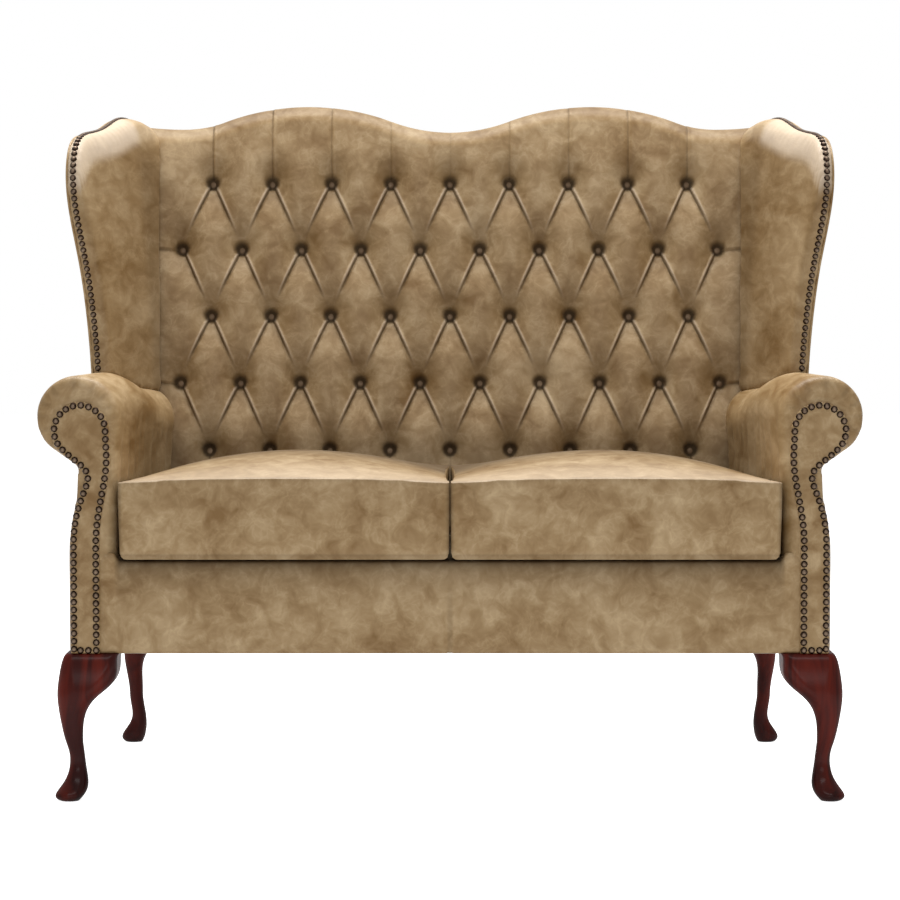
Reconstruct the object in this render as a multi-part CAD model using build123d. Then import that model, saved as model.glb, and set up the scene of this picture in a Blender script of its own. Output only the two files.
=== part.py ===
from build123d import *
import os
from math import cos, pi, radians, sin, tan

os.makedirs("parts", exist_ok=True)

# Driving dimensions, in millimetres and degrees. Floor z = 0, +Z up, the sofa faces -Y.
# Depths are measured from the plane of the two arm fronts until everything is centred at the end.
LEG_HEIGHT = 226
SEAT_LINE = 367          # underside of the loose cushions
BASE_HALF = 582          # half width of the base at the arm fronts
PLAN_TAPER = 0.061       # how far each side runs inwards per millimetre of depth
PAD_DEPTH = 545          # depth of the tufted back's crown at RECLINE_Z
RECLINE_Z = 500
RECLINE = 12.5
HUMP_Z = 1104            # top of the two humps
HUMP_X = 246
DIP_Z = 1059             # dip between the humps
SIDE_DIP_X = 464
SIDE_DIP_Z = 1064
HUMP_RADIUS = 413
TOP_ROLL = 35            # rounding of the back's top front edge
TOP_PAD = 26             # padding over the top rail

RAIL = 28                # thickness of the back frame and front rail
SIDE_RAIL = 45
POST_IN = 455            # inner and outer edge of the back posts
POST_OUT = 515
RAIL_TOP = 350
WEBBING = 2
FOAM = 40
TUFT = 50                # crown of the tufted cover over the foam
PLEAT = 19
BUTTON_PITCH = 103
ROW_PITCH = 117.5
LOW_ROW_V = -6
ROWS = 5
BUTTON_RADIUS = 10
BUTTON_SEAT = 12         # height of the button seats over the foam
DIMPLE_RADIUS = 30

ARM_IN_LOW = 520         # inner face of the arm at the floor end of its profile
SCROLL_X = 569
SCROLL_Z = 588.5
SCROLL_RADIUS = 60.5
NECK_X = 567
NECK_Z = 514
FLANK_Z = 365            # where the outside arm turns straight down
COVER = 5                # leather with its wadding
FRONT_PAD = 8            # padded fronts over the rails and posts
FACING = 6
FACING_IN = 541          # the straight foot of the facing, between its two rows of nails
FACING_OUT = 575
BORDER_END = FACING_IN   # the front border ends behind the facings' inner nails
SOFT_GAP = 0.3
FIT_GAP = 0.2

WING_X = 526
WING_Y = 690
WING_Z = 650
WING_FLARE = 9.5
WING_LEAN = 4.0
WING_LOW = -60
WING_SKIN = 3
WING_BOARD = 20
WING_PAD = 24.5          # padding of the wing where it meets the back
WING_PAD_FRONT = 5       # and at its foremost place
WING_RIM = 9
WING_ROLL = 10

CUSHION_TOP = 492
CUSHION_CROWN = 32
CUSHION_FALL = 36        # how far the cushions' side edges fall to the rear
CUSHION_FRONT = -10
CUSHION_BACK = 510
CUSHION_SKIN = 4
CUSHION_DRAW = 6         # how far the cushion sides are drawn in between the corners
CUSHION_GAP = 3          # between each cushion and the middle of the seat
ARM_CLEARANCE = 1.5      # between a cushion and the arm's roll as it lifts out
ZIP_LENGTH = 380
ZIP_WIDTH = 10

NAIL_RADIUS = 5.4
NAIL_HEIGHT = 3.4
ARM_NAIL_PITCH = 12
WING_NAIL_PITCH = 11
NAIL_INSET = 5.5         # from the edge of the arm facings

REAR_LEG_SETBACK = 64.2  # the rear legs' tops, ahead of the back frame at RECLINE_Z
REAR_RAKE = 46

SPRING_WIRE = 3.5
SPRING_HALF = 23
SPRING_STEP = 26
SPRINGS_PER_SIDE = 4
BOLT_RADIUS = 4
NUT_HEIGHT = 8
BLOCK_HEIGHT = 60
BLOCK_LEG = 120
DUST = 1.5

c = cos(radians(RECLINE))
s = sin(radians(RECLINE))
PAD_FRONT = WEBBING + FOAM + TUFT
BACK_Y = PAD_DEPTH + PAD_FRONT / c
back = Plane(origin=(0, BACK_Y, RECLINE_Z), x_dir=(1, 0, 0), z_dir=(0, -c, s))

parts = {}


def pair(name, shape):
    # The object is symmetric, so a left piece is the mirror of its right one.
    parts["right_" + name] = shape
    parts["left_" + name] = mirror(shape, about=Plane.YZ)


def polygon(points):
    return make_face(Polyline(*points, close=True)).face()


def front_plane(y):
    return Plane(origin=(0, y, 0), x_dir=(1, 0, 0), z_dir=(0, -1, 0))


def run_back(face, y0, y1):
    # Extrudes an arm section from depth y0 to y1 along the tapering side of the sofa.
    placed = front_plane(y0) * face.moved(Location((-PLAN_TAPER * y0, 0, 0)))
    return Solid.extrude(placed, Vector(-PLAN_TAPER * (y1 - y0), y1 - y0, 0))


def ahead_of(shape, w):
    return split(shape, bisect_by=back.offset(w), keep=Keep.TOP)


def above(shape, z):
    return split(shape, bisect_by=Plane.XY.offset(z), keep=Keep.TOP)


def below(shape, z):
    return split(shape, bisect_by=Plane.XY.offset(z), keep=Keep.BOTTOM)


def v_at(z, w=0):
    return (z - RECLINE_Z - w * s) / c


def side_x(x, y):
    return x - PLAN_TAPER * y


# Arms: one closed section that every layer of the arm is cut from.
def arm_section(inset, low):
    r = SCROLL_RADIUS - inset
    turn = radians(-45)
    under = (SCROLL_X + r * cos(turn), SCROLL_Z + r * sin(turn))
    neck = (NECK_X - inset, NECK_Z + 0.5 * inset)
    flank = (BASE_HALF - inset, FLANK_Z)
    half = ((neck[0] + flank[0]) / 2, (neck[1] + flank[1]) / 2)
    inner = Line((ARM_IN_LOW + inset, low), (SCROLL_X - r, SCROLL_Z))
    scroll = ThreePointArc((SCROLL_X - r, SCROLL_Z), (SCROLL_X, SCROLL_Z + r), under)
    below_scroll = Line(under, neck)
    upper = TangentArc(neck, half, tangent=(0, -1))
    lower = TangentArc(half, flank, tangent=upper % 1)
    outer = Line(flank, (flank[0], low))
    floor = Line((flank[0], low), (ARM_IN_LOW + inset, low))
    return Face(Wire([inner, scroll, below_scroll, upper, lower, outer, floor]))


ARM_BACK = BACK_Y + 200
arm_outer = ahead_of(run_back(arm_section(0, LEG_HEIGHT), 0, ARM_BACK), -RAIL)
arm_cavity = run_back(arm_section(COVER, LEG_HEIGHT - 10), FRONT_PAD, ARM_BACK)
arm_room = run_back(arm_section(-SOFT_GAP, LEG_HEIGHT - 10), -SOFT_GAP, ARM_BACK)
wing_seat = ahead_of(arm_room, -RAIL - 1)
arm_room = ahead_of(arm_room, SOFT_GAP)

rail_section = polygon([(548, 560), (604, 560), (604, 582), (548, 582)])
arm_rail = ahead_of(run_back(rail_section, FRONT_PAD + RAIL, ARM_BACK), 0)
pair("arm_rail", arm_rail)

seat_cut = polygon([(400, 0), (548, 0), (548, SEAT_LINE - 15), (400, SEAT_LINE - 15)])
flank_cut = polygon([(548, 0), (700, 0), (700, NECK_Z), (548, NECK_Z)])
post_room = back.offset(SOFT_GAP) * polygon(
    [(0, -400), (POST_OUT + SOFT_GAP, -400), (POST_OUT + SOFT_GAP, 400), (0, 400)]
)
post_room = Solid.extrude(post_room, back.z_dir * -100)
arm_shell = arm_outer - post_room - ahead_of(arm_cavity, SOFT_GAP + COVER)
arm_shell -= run_back(seat_cut, FRONT_PAD, ARM_BACK)
arm_shell -= run_back(flank_cut, FRONT_PAD, ARM_BACK)
arm_shell -= arm_rail
arm_shell -= Pos(0, FRONT_PAD / 2, LEG_HEIGHT) * Box(
    2 * (BORDER_END + SOFT_GAP), FRONT_PAD + 2 * SOFT_GAP, 2 * (SEAT_LINE - LEG_HEIGHT)
)
pair("arm_cover", arm_shell)

flank = run_back(arm_section(0, LEG_HEIGHT), FRONT_PAD, ARM_BACK)
flank &= run_back(flank_cut, FRONT_PAD, ARM_BACK)
flank -= arm_cavity
pair("outside_arm_panel", ahead_of(flank, -RAIL))

post_section = arm_section(COVER + SOFT_GAP, LEG_HEIGHT)
post = above(run_back(post_section, FRONT_PAD, FRONT_PAD + RAIL), RAIL_TOP)
pair("arm_front_post", post)

pad = run_back(arm_section(COVER + SOFT_GAP, LEG_HEIGHT), FRONT_PAD + RAIL, ARM_BACK)
pad = ahead_of(pad, COVER + 2 * SOFT_GAP)
hollow = polygon([(548, 0), (700, 0), (700, NECK_Z + 20), (548, NECK_Z + 20)])
pad -= run_back(hollow, 0, ARM_BACK)
pad -= run_back(rail_section, 0, ARM_BACK)
pair("arm_pad", above(pad, SEAT_LINE - 15))


# Arm facing: a narrow shield that widens into the scroll, drawn at the line of its nails.
def facing_edges(inset):
    r = 39 - inset
    inner_top = (524 + inset, 529)
    inner_low = (FACING_IN + inset, 390)
    outer_top = (558 - inset, 510)
    outer_low = (FACING_OUT - inset, 390)
    foot = LEG_HEIGHT + NAIL_INSET + inset
    turn = radians(-42)
    under = (564.5 + r * cos(turn), 567.5 + r * sin(turn))
    scroll = ThreePointArc((564.5 - r, 567.5), (564.5, 567.5 + r), under)
    return [
        Line((FACING_IN + inset, foot), inner_low),
        Spline(inner_low, inner_top, (564.5 - r, 567.5), tangents=((0, 1), (0, 1))),
        scroll,
        Spline(under, outer_top, outer_low, tangents=(scroll % 1, (0, -1))),
        Line(outer_low, (FACING_OUT - inset, foot)),
        Line((FACING_OUT - inset, foot), (FACING_IN + inset, foot)),
    ]


facing_face = front_plane(0) * Face(Wire(facing_edges(-NAIL_INSET)))
pair("arm_facing", Solid.extrude(facing_face, Vector(0, -FACING, 0)))


def nail_head(place):
    head = extrude(RegularPolygon(NAIL_RADIUS, 6), NAIL_HEIGHT, taper=38)
    return place * head.solid()


def nails_along(wire, pitch, outward):
    # Equal steps along the line of the nails; outward gives the plane of each head.
    count = round(wire.length / pitch)
    heads = []
    for i in range(count):
        t = i / count
        heads.append(nail_head(outward(wire.position_at(t), wire.tangent_at(t))))
    return heads


facing_line = front_plane(-FACING) * Wire(facing_edges(0))
arm_heads = nails_along(facing_line, ARM_NAIL_PITCH, lambda p, d: Plane(p, z_dir=(0, -1, 0)))
pair("arm_nails", Compound(arm_heads))

# Seat frame.
front_rail_half = BASE_HALF - COVER
front_rail = Pos(0, FRONT_PAD + RAIL / 2, (LEG_HEIGHT + RAIL_TOP) / 2) * Box(
    2 * side_x(front_rail_half, FRONT_PAD + RAIL), RAIL, RAIL_TOP - LEG_HEIGHT
)
parts["front_seat_rail"] = front_rail

side_low, side_high = front_rail_half - SIDE_RAIL, front_rail_half
side_section = polygon(
    [(side_low, LEG_HEIGHT), (side_high, LEG_HEIGHT), (side_high, RAIL_TOP), (side_low, RAIL_TOP)]
)
side_rail = ahead_of(run_back(side_section, FRONT_PAD + RAIL, ARM_BACK), 0)
pair("side_seat_rail", side_rail)

def back_board(points, w0, w1):
    # A flat board in the plane of the reclined back, from w0 to w1 out of that plane.
    face = back.offset(w0) * polygon(points)
    return Solid.extrude(face, back.z_dir * (w1 - w0))


v_floor = v_at(LEG_HEIGHT) - 20
v_rail = v_at(RAIL_TOP) + 20
rear_rail = back_board(
    [(-POST_IN, v_floor), (POST_IN, v_floor), (POST_IN, v_rail), (-POST_IN, v_rail)], -RAIL, 0
)
parts["rear_seat_rail"] = below(above(rear_rail, LEG_HEIGHT), RAIL_TOP)

centre_rail = Pos(0, (FRONT_PAD + RAIL + BACK_Y) / 2, RAIL_TOP - 60) * Box(
    RAIL, BACK_Y - FRONT_PAD - RAIL, 70
)
parts["centre_seat_rail"] = ahead_of(centre_rail, 0)

# Back frame: the hump line is made of arcs that run tangent into each other.
def hump_edges(drop, half):
    # The top line of the back, lowered by drop, from -half to half.
    def v_top(z):
        return (z - TOP_ROLL - (PAD_FRONT - TOP_ROLL) * s - RECLINE_Z) / c + TOP_ROLL - drop

    v_hump, v_dip, v_side = v_top(HUMP_Z), v_top(DIP_Z), v_top(SIDE_DIP_Z)
    rise_in, rise_out = v_hump - v_dip, v_hump - v_side
    run_in, run_out = HUMP_X, SIDE_DIP_X - HUMP_X
    both_in = (run_in**2 + rise_in**2) / (2 * rise_in)
    both_out = (run_out**2 + rise_out**2) / (2 * rise_out)
    turn_in = (HUMP_X - run_in * HUMP_RADIUS / both_in, v_hump - rise_in * HUMP_RADIUS / both_in)
    turn_out = (HUMP_X + run_out * HUMP_RADIUS / both_out, v_hump - rise_out * HUMP_RADIUS / both_out)
    r_side = both_out - HUMP_RADIUS
    end = (half, v_side + r_side - (r_side**2 - (half - SIDE_DIP_X) ** 2) ** 0.5)

    def flip(point):
        return (-point[0], point[1])

    return [
        ThreePointArc(flip(end), flip((SIDE_DIP_X, v_side)), flip(turn_out)),
        ThreePointArc(flip(turn_out), flip((HUMP_X, v_hump)), flip(turn_in)),
        ThreePointArc(flip(turn_in), (0, v_dip), turn_in),
        ThreePointArc(turn_in, (HUMP_X, v_hump), turn_out),
        ThreePointArc(turn_out, (SIDE_DIP_X, v_side), end),
    ]


def back_panel(drop, half, waist, v_waist, v_low, w0, w1):
    # A panel with the hump line on top; below v_waist it narrows or widens to waist.
    top = hump_edges(drop, half)
    right, left = top[-1] @ 1, top[0] @ 0
    foot = Polyline(
        right, (half, v_waist), (waist, v_waist), (waist, v_low),
        (-waist, v_low), (-waist, v_waist), (-half, v_waist), left,
    )
    face = back.offset(w0) * Face(Wire(top + list(foot.edges())))
    return Solid.extrude(face, back.z_dir * (w1 - w0))


# Wings: a plane that flares outwards to the front and leans outwards to the top.
fl, ln = radians(WING_FLARE), radians(WING_LEAN)
wing_p = Vector(sin(fl), -cos(fl), 0)
wing_q = Vector(sin(ln) * cos(fl), sin(ln) * sin(fl), cos(ln))
wing = Plane(origin=(WING_X, WING_Y, WING_Z), x_dir=wing_p, z_dir=wing_p.cross(wing_q))


def wing_line(inset):
    return Spline(
        (377 - inset, WING_LOW),
        (366 - inset, 60),
        (392 - inset, 180),
        (430 - inset, 312),
        (398 - 0.8 * inset, 367 - 0.6 * inset),
        (320, 389 - inset),
        (230, 402 - inset),
        (140, 422 - inset),
        (70, 424 - inset),
        (-10, 410 - inset),
        (-140, 380 - inset),
    )


def wing_layer(inset, n0, n1):
    line = wing_line(inset)
    base = Polyline(line @ 1, (-140, WING_LOW), line @ 0)
    face = wing.offset(n0) * Face(Wire([line] + list(base.edges())))
    return Solid.extrude(face, wing.z_dir * (n1 - n0))


def wing_slab(n0, n1):
    face = wing.offset(n0) * polygon([(-300, WING_LOW), (600, WING_LOW), (600, 700), (-300, 700)])
    return Solid.extrude(face, wing.z_dir * (n1 - n0))


N_BOARD = WING_SKIN + WING_BOARD
WIDE_P, MEET_P = 430, 115
pad_front = wing.from_local_coords(Vector(WIDE_P, 0, N_BOARD + WING_PAD_FRONT))
pad_meet = wing.from_local_coords(Vector(MEET_P, 0, N_BOARD + WING_PAD))
pad_normal = (pad_front - pad_meet).cross(wing.y_dir)
pad_plane = Plane(origin=pad_front, x_dir=pad_front - pad_meet, z_dir=pad_normal)

post_v = v_at(WING_Z + WING_LOW * cos(ln))
back_post = back_board(
    [(POST_IN, v_floor), (POST_OUT, v_floor), (POST_OUT, 480), (POST_IN, 480)], -RAIL, 0
)
back_post = above(back_post - wing_slab(-60, N_BOARD), LEG_HEIGHT)
pair("back_post", back_post)

top_rail = back_panel(TOP_PAD + SOFT_GAP, 530, POST_IN, 480, 470, -RAIL, 0)
top_rail -= wing_slab(-60, N_BOARD) + mirror(wing_slab(-60, N_BOARD), about=Plane.YZ)
parts["back_top_rail"] = top_rail

STAY_LOW = v_at(SEAT_LINE + 25)
parts["back_stay_rail"] = back_board(
    [(-POST_IN, STAY_LOW), (POST_IN, STAY_LOW), (POST_IN, STAY_LOW + 50), (-POST_IN, STAY_LOW + 50)],
    -RAIL, 0,
)
parts["back_centre_stile"] = back_board(
    [(-30, STAY_LOW + 50), (30, STAY_LOW + 50), (30, 470), (-30, 470)], -RAIL, 0
)

board = ahead_of(wing_layer(WING_RIM, WING_SKIN, N_BOARD), -RAIL) - wing_seat
pair("wing_board", board)
skin = ahead_of(wing_layer(0, 0, WING_SKIN), -RAIL) - wing_seat
pair("outside_wing_panel", skin)

# Tufted inside back, worked flat in the plane of the back and then stood up with it.
HALF_COLUMNS = 4.5 * BUTTON_PITCH
ROW_RUN = (ROWS - 1) * ROW_PITCH
FLUTE_STEPS = (0, 0.1, 0.27, 0.5, 0.73, 0.9)
TOP_ROW_V = LOW_ROW_V + ROW_RUN


def flute_section():
    # Rounded flutes between pleats, one for each space between buttons.
    points = []
    for i in range(-8, 8):
        for t in FLUTE_STEPS:
            across = (1 - 2 * t) ** 2
            points.append((BUTTON_PITCH * (i + t), PAD_FRONT + 1 - (PLEAT + 1) * across))
    end = 8 * BUTTON_PITCH
    points += [(end, PAD_FRONT - PLEAT), (end, -RAIL), (-end, -RAIL)]
    return polygon(points)


flutes = front_plane(TOP_ROW_V) * flute_section()
slant = ROW_RUN / ROW_PITCH * BUTTON_PITCH / 2
falling = Solid.extrude(flutes, Vector(slant, -ROW_RUN, 0))
rising = Solid.extrude(flutes, Vector(-slant, -ROW_RUN, 0))
field = Pos(0, TOP_ROW_V - ROW_RUN / 2, 0) * Box(2 * HALF_COLUMNS, 2 * ROW_RUN, 4 * PAD_FRONT)
diamonds = ((falling & field) & (rising & field)).solid()

EDGE_RUN = 80
TOP_RUN = 200
LOW_RUN = 160
by_x = diamonds.faces().sort_by(Axis.X)
by_y = diamonds.faces().sort_by(Axis.Y)
tufts = diamonds
tufts += Solid.extrude(by_y[-1], Vector(0, TOP_RUN, 0))
tufts += Solid.extrude(by_y[0], Vector(0, -LOW_RUN, 0))
tufts += Solid.extrude(by_x[-1], Vector(EDGE_RUN, 0, 0))
tufts += Solid.extrude(by_x[0], Vector(-EDGE_RUN, 0, 0))
for side in (-1, 1):
    x_mid = side * (HALF_COLUMNS + EDGE_RUN / 2)
    w_mid = (PAD_FRONT - RAIL) / 2
    upper_corner = Pos(x_mid, TOP_ROW_V + TOP_RUN / 2, w_mid)
    tufts += upper_corner * Box(EDGE_RUN, TOP_RUN, PAD_FRONT + RAIL)
    lower_corner = Pos(x_mid, LOW_ROW_V - LOW_RUN / 2, w_mid)
    tufts += lower_corner * Box(EDGE_RUN, LOW_RUN, PAD_FRONT + RAIL)

SEAT_W = WEBBING + FOAM + BUTTON_SEAT
button_places = []
for row in range(ROWS):
    count = 10 if row % 2 else 9
    for i in range(count):
        x = (i - (count - 1) / 2) * BUTTON_PITCH
        button_places.append((x, LOW_ROW_V + row * ROW_PITCH))

dimple_height = PAD_FRONT + 2 - SEAT_W
dimple_floor = RegularPolygon(BUTTON_RADIUS + 1, 8)
dimple_mouth = Pos(0, 0, dimple_height) * RegularPolygon(DIMPLE_RADIUS, 8)
dimple = loft([dimple_floor.face(), dimple_mouth.face()], ruled=True)
dimples = []
for x, v in button_places:
    dimples.append(Pos(x, v, SEAT_W) * dimple)
tufts -= dimples

WAIST = 498
V_WAIST = v_at(645)
V_COVER_LOW = v_at(SEAT_LINE + 5)
wing_sides = wing_slab(-60, N_BOARD + SOFT_GAP)
wing_sides += mirror(wing_sides, about=Plane.YZ)
arm_rooms = arm_room + mirror(arm_room, about=Plane.YZ)

cover = back_panel(0, 530, WAIST, V_WAIST, V_COVER_LOW, -RAIL, PAD_FRONT)
top_front = [
    e for e in cover.edges().filter_by(GeomType.CIRCLE)
    if back.to_local_coords(e.center()).Z > PAD_FRONT / 2
]
cover = fillet(top_front, TOP_ROLL)
cover -= back_panel(TOP_PAD, 560, 559, V_WAIST, V_COVER_LOW - 10, -RAIL - 1, WEBBING + FOAM)
cover &= back * tufts
parts["inside_back_cover"] = cover - arm_rooms - wing_sides

foam = back_panel(
    TOP_PAD + SOFT_GAP, 530, WAIST, V_WAIST, V_COVER_LOW, WEBBING, WEBBING + FOAM - SOFT_GAP
)
parts["inside_back_foam"] = foam - arm_rooms - wing_sides

button = extrude(RegularPolygon(BUTTON_RADIUS, 8), 7, taper=40).solid()
parts["back_buttons"] = Compound([back * Pos(x, v, SEAT_W) * button for x, v in button_places])

straps = []
STRAP = 50
for i in range(5):
    v0 = STAY_LOW + 70 + i * 85
    straps.append(
        back_board([(-468, v0), (468, v0), (468, v0 + STRAP), (-468, v0 + STRAP)], 0, WEBBING)
    )
parts["back_webbing"] = Compound(straps)

outside_top = hump_edges(0, 540)
outside_foot = Polyline(
    outside_top[-1] @ 1, (524, v_at(645)), (541, v_at(500)), (541, v_floor),
    (-541, v_floor), (-541, v_at(500)), (-524, v_at(645)), outside_top[0] @ 0,
)
outside_face = back.offset(-RAIL) * Face(Wire(outside_top + list(outside_foot.edges())))
outside = Solid.extrude(outside_face, back.z_dir * -4)
parts["outside_back_panel"] = above(outside, LEG_HEIGHT)

# Wing covers wrap the boards, die into the tufted back and stand on the arms. Their padding
# thins to the front.
wing_cover = wing_layer(0, WING_SKIN, N_BOARD + 3 * WING_PAD)
wing_cover = split(wing_cover, bisect_by=pad_plane, keep=Keep.BOTTOM)
inner_rim = [
    e for e in wing_cover.edges()
    if pad_plane.to_local_coords(e.center()).Z > -0.1 and e.geom_type == GeomType.BSPLINE
]
wing_cover = fillet(inner_rim, WING_ROLL)
wing_cover -= wing_layer(WING_RIM, WING_SKIN, N_BOARD)
back_room = back_panel(
    -SOFT_GAP, 530, WAIST, V_WAIST, V_COVER_LOW, -RAIL - 1, PAD_FRONT + SOFT_GAP
)
wing_cover = ahead_of(wing_cover, -RAIL) - wing_seat - back_post
wing_cover -= back_room - wing_slab(-60, N_BOARD)
pair("wing_cover", wing_cover)

WING_NAIL_N = 12.5
nail_line = wing.offset(WING_NAIL_N) * Wire([wing_line(-0.15)])
wing_heads = nails_along(
    nail_line, WING_NAIL_PITCH, lambda p, d: Plane(p, z_dir=d.cross(wing.z_dir))
)
shown = [
    h for h in wing_heads
    if h.center().Z > WING_Z + 10 and back.to_local_coords(h.center()).Z > 0
]
pair("wing_nails", Compound(shown))

# Front border and seat deck.
lip = SEAT_LINE - SOFT_GAP
border_section = [
    (0, LEG_HEIGHT), (FRONT_PAD, LEG_HEIGHT), (FRONT_PAD, lip - 10), (62, lip - 10), (62, lip), (0, lip),
]
border_face = Plane.YZ.offset(-530) * polygon(border_section)
border = Solid.extrude(border_face, Vector(1060, 0, 0)) - arm_rooms
border += Pos(0, FRONT_PAD / 2, (LEG_HEIGHT + lip) / 2) * Box(2 * BORDER_END, FRONT_PAD, lip - LEG_HEIGHT)
parts["front_border"] = border.solid()

deck_low = RAIL_TOP + SPRING_WIRE + SOFT_GAP
deck = Pos(0, 382.3, (deck_low + lip) / 2) * Box(1060, 640, lip - deck_low)
parts["seat_deck"] = ahead_of(deck, SOFT_GAP) - arm_rooms

# Zigzag springs run over the front and rear rails, each end held by a clip.
spring_front = FRONT_PAD + 8
rear_edge = BACK_Y - (RECLINE_Z - RAIL_TOP) * s / c
spring_steps = int((rear_edge + 12 - spring_front) / SPRING_STEP)
spring_step = (rear_edge + 12 - spring_front) / spring_steps
bends = [
    (SPRING_HALF * (1 if i % 2 else -1), spring_front + i * spring_step) for i in range(spring_steps + 1)
]
zigzag = trace(Polyline(*bends), SPRING_WIRE)
spring = extrude(Pos(0, 0, RAIL_TOP) * zigzag, SPRING_WIRE).solid()
spring_places = []
for i in range(SPRINGS_PER_SIDE):
    spring_places += [-65 - 115 * i, 65 + 115 * i]
parts["seat_springs"] = Compound([Pos(x, 0, 0) * spring for x in spring_places])
CLIP_PLATE = 1.6
low_align = (Align.CENTER, Align.CENTER, Align.MIN)
clips = []
for x in spring_places:
    for bend, outward in ((bends[0], -1), (bends[-1], 1)):
        top = SPRING_WIRE + FIT_GAP
        clip = Pos(0, 0, top) * Box(14, 12, CLIP_PLATE, align=low_align)
        clip += Pos(0, 6 * outward, 0) * Box(14, 3, top + CLIP_PLATE, align=low_align)
        clips.append((Pos(x + bend[0], bend[1], RAIL_TOP) * clip).solid())
parts["spring_clips"] = Compound(clips)


# Cabriole legs: rounded squares stacked along a line that swings out over the knee and the toe.
def leg(stations):
    sections = []
    for z, x_in, x_out, y_mid, roundness in stations:
        size = x_out - x_in
        place = Pos((x_in + x_out) / 2, y_mid, z)
        sections.append((place * RectangleRounded(size, size, roundness * size)).face())
    return loft(sections).solid()


# Share of the leg's height, inner and outer edge as seen from the front, measured from the
# outside of the base above the leg, and roundness. The front legs swing out along the diagonal.
front_shape = [
    (1, -76, 6, 0.16),
    (0.885, -72, 16, 0.24),
    (0.77, -59, 20, 0.34),
    (0.655, -31, 19, 0.42),
    (0.522, -20, 14, 0.46),
    (0.389, -19, 7, 0.47),
    (0.257, -22, 2, 0.47),
    (0.168, -25, 6, 0.47),
    (0.097, -26, 15, 0.47),
    (0.04, -21, 23, 0.47),
    (0, -13, 15, 0.47),
]
front_stations = [
    (LEG_HEIGHT * t, BASE_HALF + x_in, BASE_HALF + x_out, -(x_in + x_out) / 2, r)
    for t, x_in, x_out, r in front_shape
]
REAR_LEG_Y = BACK_Y - REAR_LEG_SETBACK
rear_base = side_x(BASE_HALF, REAR_LEG_Y)
rear_shape = [
    (1, -76, -3, 0.16),
    (0.894, -66, 5, 0.24),
    (0.779, -39, 13, 0.34),
    (0.655, -19, 15, 0.42),
    (0.522, -15, 11, 0.46),
    (0.389, -15, 8, 0.47),
    (0.257, -18, 5, 0.47),
    (0.168, -20, 7, 0.47),
    (0.097, -19, 17, 0.47),
    (0.04, -16, 23, 0.47),
    (0, -11, 16, 0.47),
]
rear_stations = [
    (LEG_HEIGHT * t, rear_base + x_in, rear_base + x_out, REAR_LEG_Y + REAR_RAKE * (1 - t), r)
    for t, x_in, x_out, r in rear_shape
]

FRONT_BOLT = (BASE_HALF - 64, 54)
REAR_BOLT = (rear_base - 60, REAR_LEG_Y - 18)
BOLT_BITE = 20


def bolt_hole(place, low, high, radius):
    return Pos(*place, low) * Cylinder(radius, high - low, align=low_align)


front_leg = leg(front_stations)
front_leg -= bolt_hole(FRONT_BOLT, LEG_HEIGHT - BOLT_BITE - 2, LEG_HEIGHT + 1, BOLT_RADIUS + FIT_GAP)
pair("front_leg", front_leg)
rear_leg = leg(rear_stations)
rear_leg -= bolt_hole(REAR_BOLT, LEG_HEIGHT - BOLT_BITE - 2, LEG_HEIGHT + 1, BOLT_RADIUS + FIT_GAP)
pair("rear_leg", rear_leg)

block_top = LEG_HEIGHT + BLOCK_HEIGHT
y_in = FRONT_PAD + RAIL
front_block = polygon(
    [
        (side_x(side_low, y_in), y_in),
        (side_x(side_low, y_in) - BLOCK_LEG, y_in),
        (side_x(side_low, y_in + BLOCK_LEG), y_in + BLOCK_LEG),
    ]
)
rear_corner = rear_edge + 40
rear_start = REAR_BOLT[1] - BLOCK_LEG / 2
rear_block = polygon(
    [
        (side_x(side_low, rear_start), rear_start),
        (side_x(side_low, rear_corner), rear_corner),
        (side_x(side_low, rear_corner) - BLOCK_LEG - 60, rear_corner),
    ]
)
blocks, bolts, nuts = [], [], []
for outline, place in ((front_block, FRONT_BOLT), (rear_block, REAR_BOLT)):
    block = ahead_of(extrude(Pos(0, 0, LEG_HEIGHT) * outline, BLOCK_HEIGHT), 0)
    block -= bolt_hole(place, LEG_HEIGHT - 1, block_top + 1, BOLT_RADIUS + FIT_GAP)
    bolt = bolt_hole(place, LEG_HEIGHT - BOLT_BITE, block_top + NUT_HEIGHT + 4, BOLT_RADIUS)
    nut = extrude(Pos(*place, block_top) * RegularPolygon(9, 6), NUT_HEIGHT)
    nut -= bolt_hole(place, block_top - 1, block_top + NUT_HEIGHT + 1, BOLT_RADIUS + FIT_GAP)
    for group, piece in ((blocks, block), (bolts, bolt), (nuts, nut)):
        group.append(piece.solid())
        group.append(mirror(piece, about=Plane.YZ).solid())
parts["corner_blocks"] = Compound(blocks)
parts["leg_bolts"] = Compound(bolts)
parts["leg_nuts"] = Compound(nuts)

dust_front, dust_rear = FRONT_PAD + 4, rear_edge - 20
dust_outline = polygon(
    [
        (side_x(side_high - 4, dust_front), dust_front),
        (side_x(side_high - 4, dust_rear), dust_rear),
        (-side_x(side_high - 4, dust_rear), dust_rear),
        (-side_x(side_high - 4, dust_front), dust_front),
    ]
)
dust = extrude(Pos(0, 0, LEG_HEIGHT - DUST) * dust_outline, DUST)
for z, x_in, x_out, y_mid, r in (front_stations[0], rear_stations[0]):
    for side in (-1, 1):
        room = Pos(side * (x_in + x_out) / 2, y_mid, LEG_HEIGHT)
        dust -= room * Box(x_out - x_in + 12, x_out - x_in + 12, 10)
parts["dust_cover"] = dust


# Loose seat cushions: crowned, with sides drawn in between the corners. They lift straight out,
# so they keep clear of the arm's roll, its narrowest place.
def cushion_side(y):
    return side_x(SCROLL_X - SCROLL_RADIUS, y) - ARM_CLEARANCE


EDGE_CROWN = 6


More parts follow.
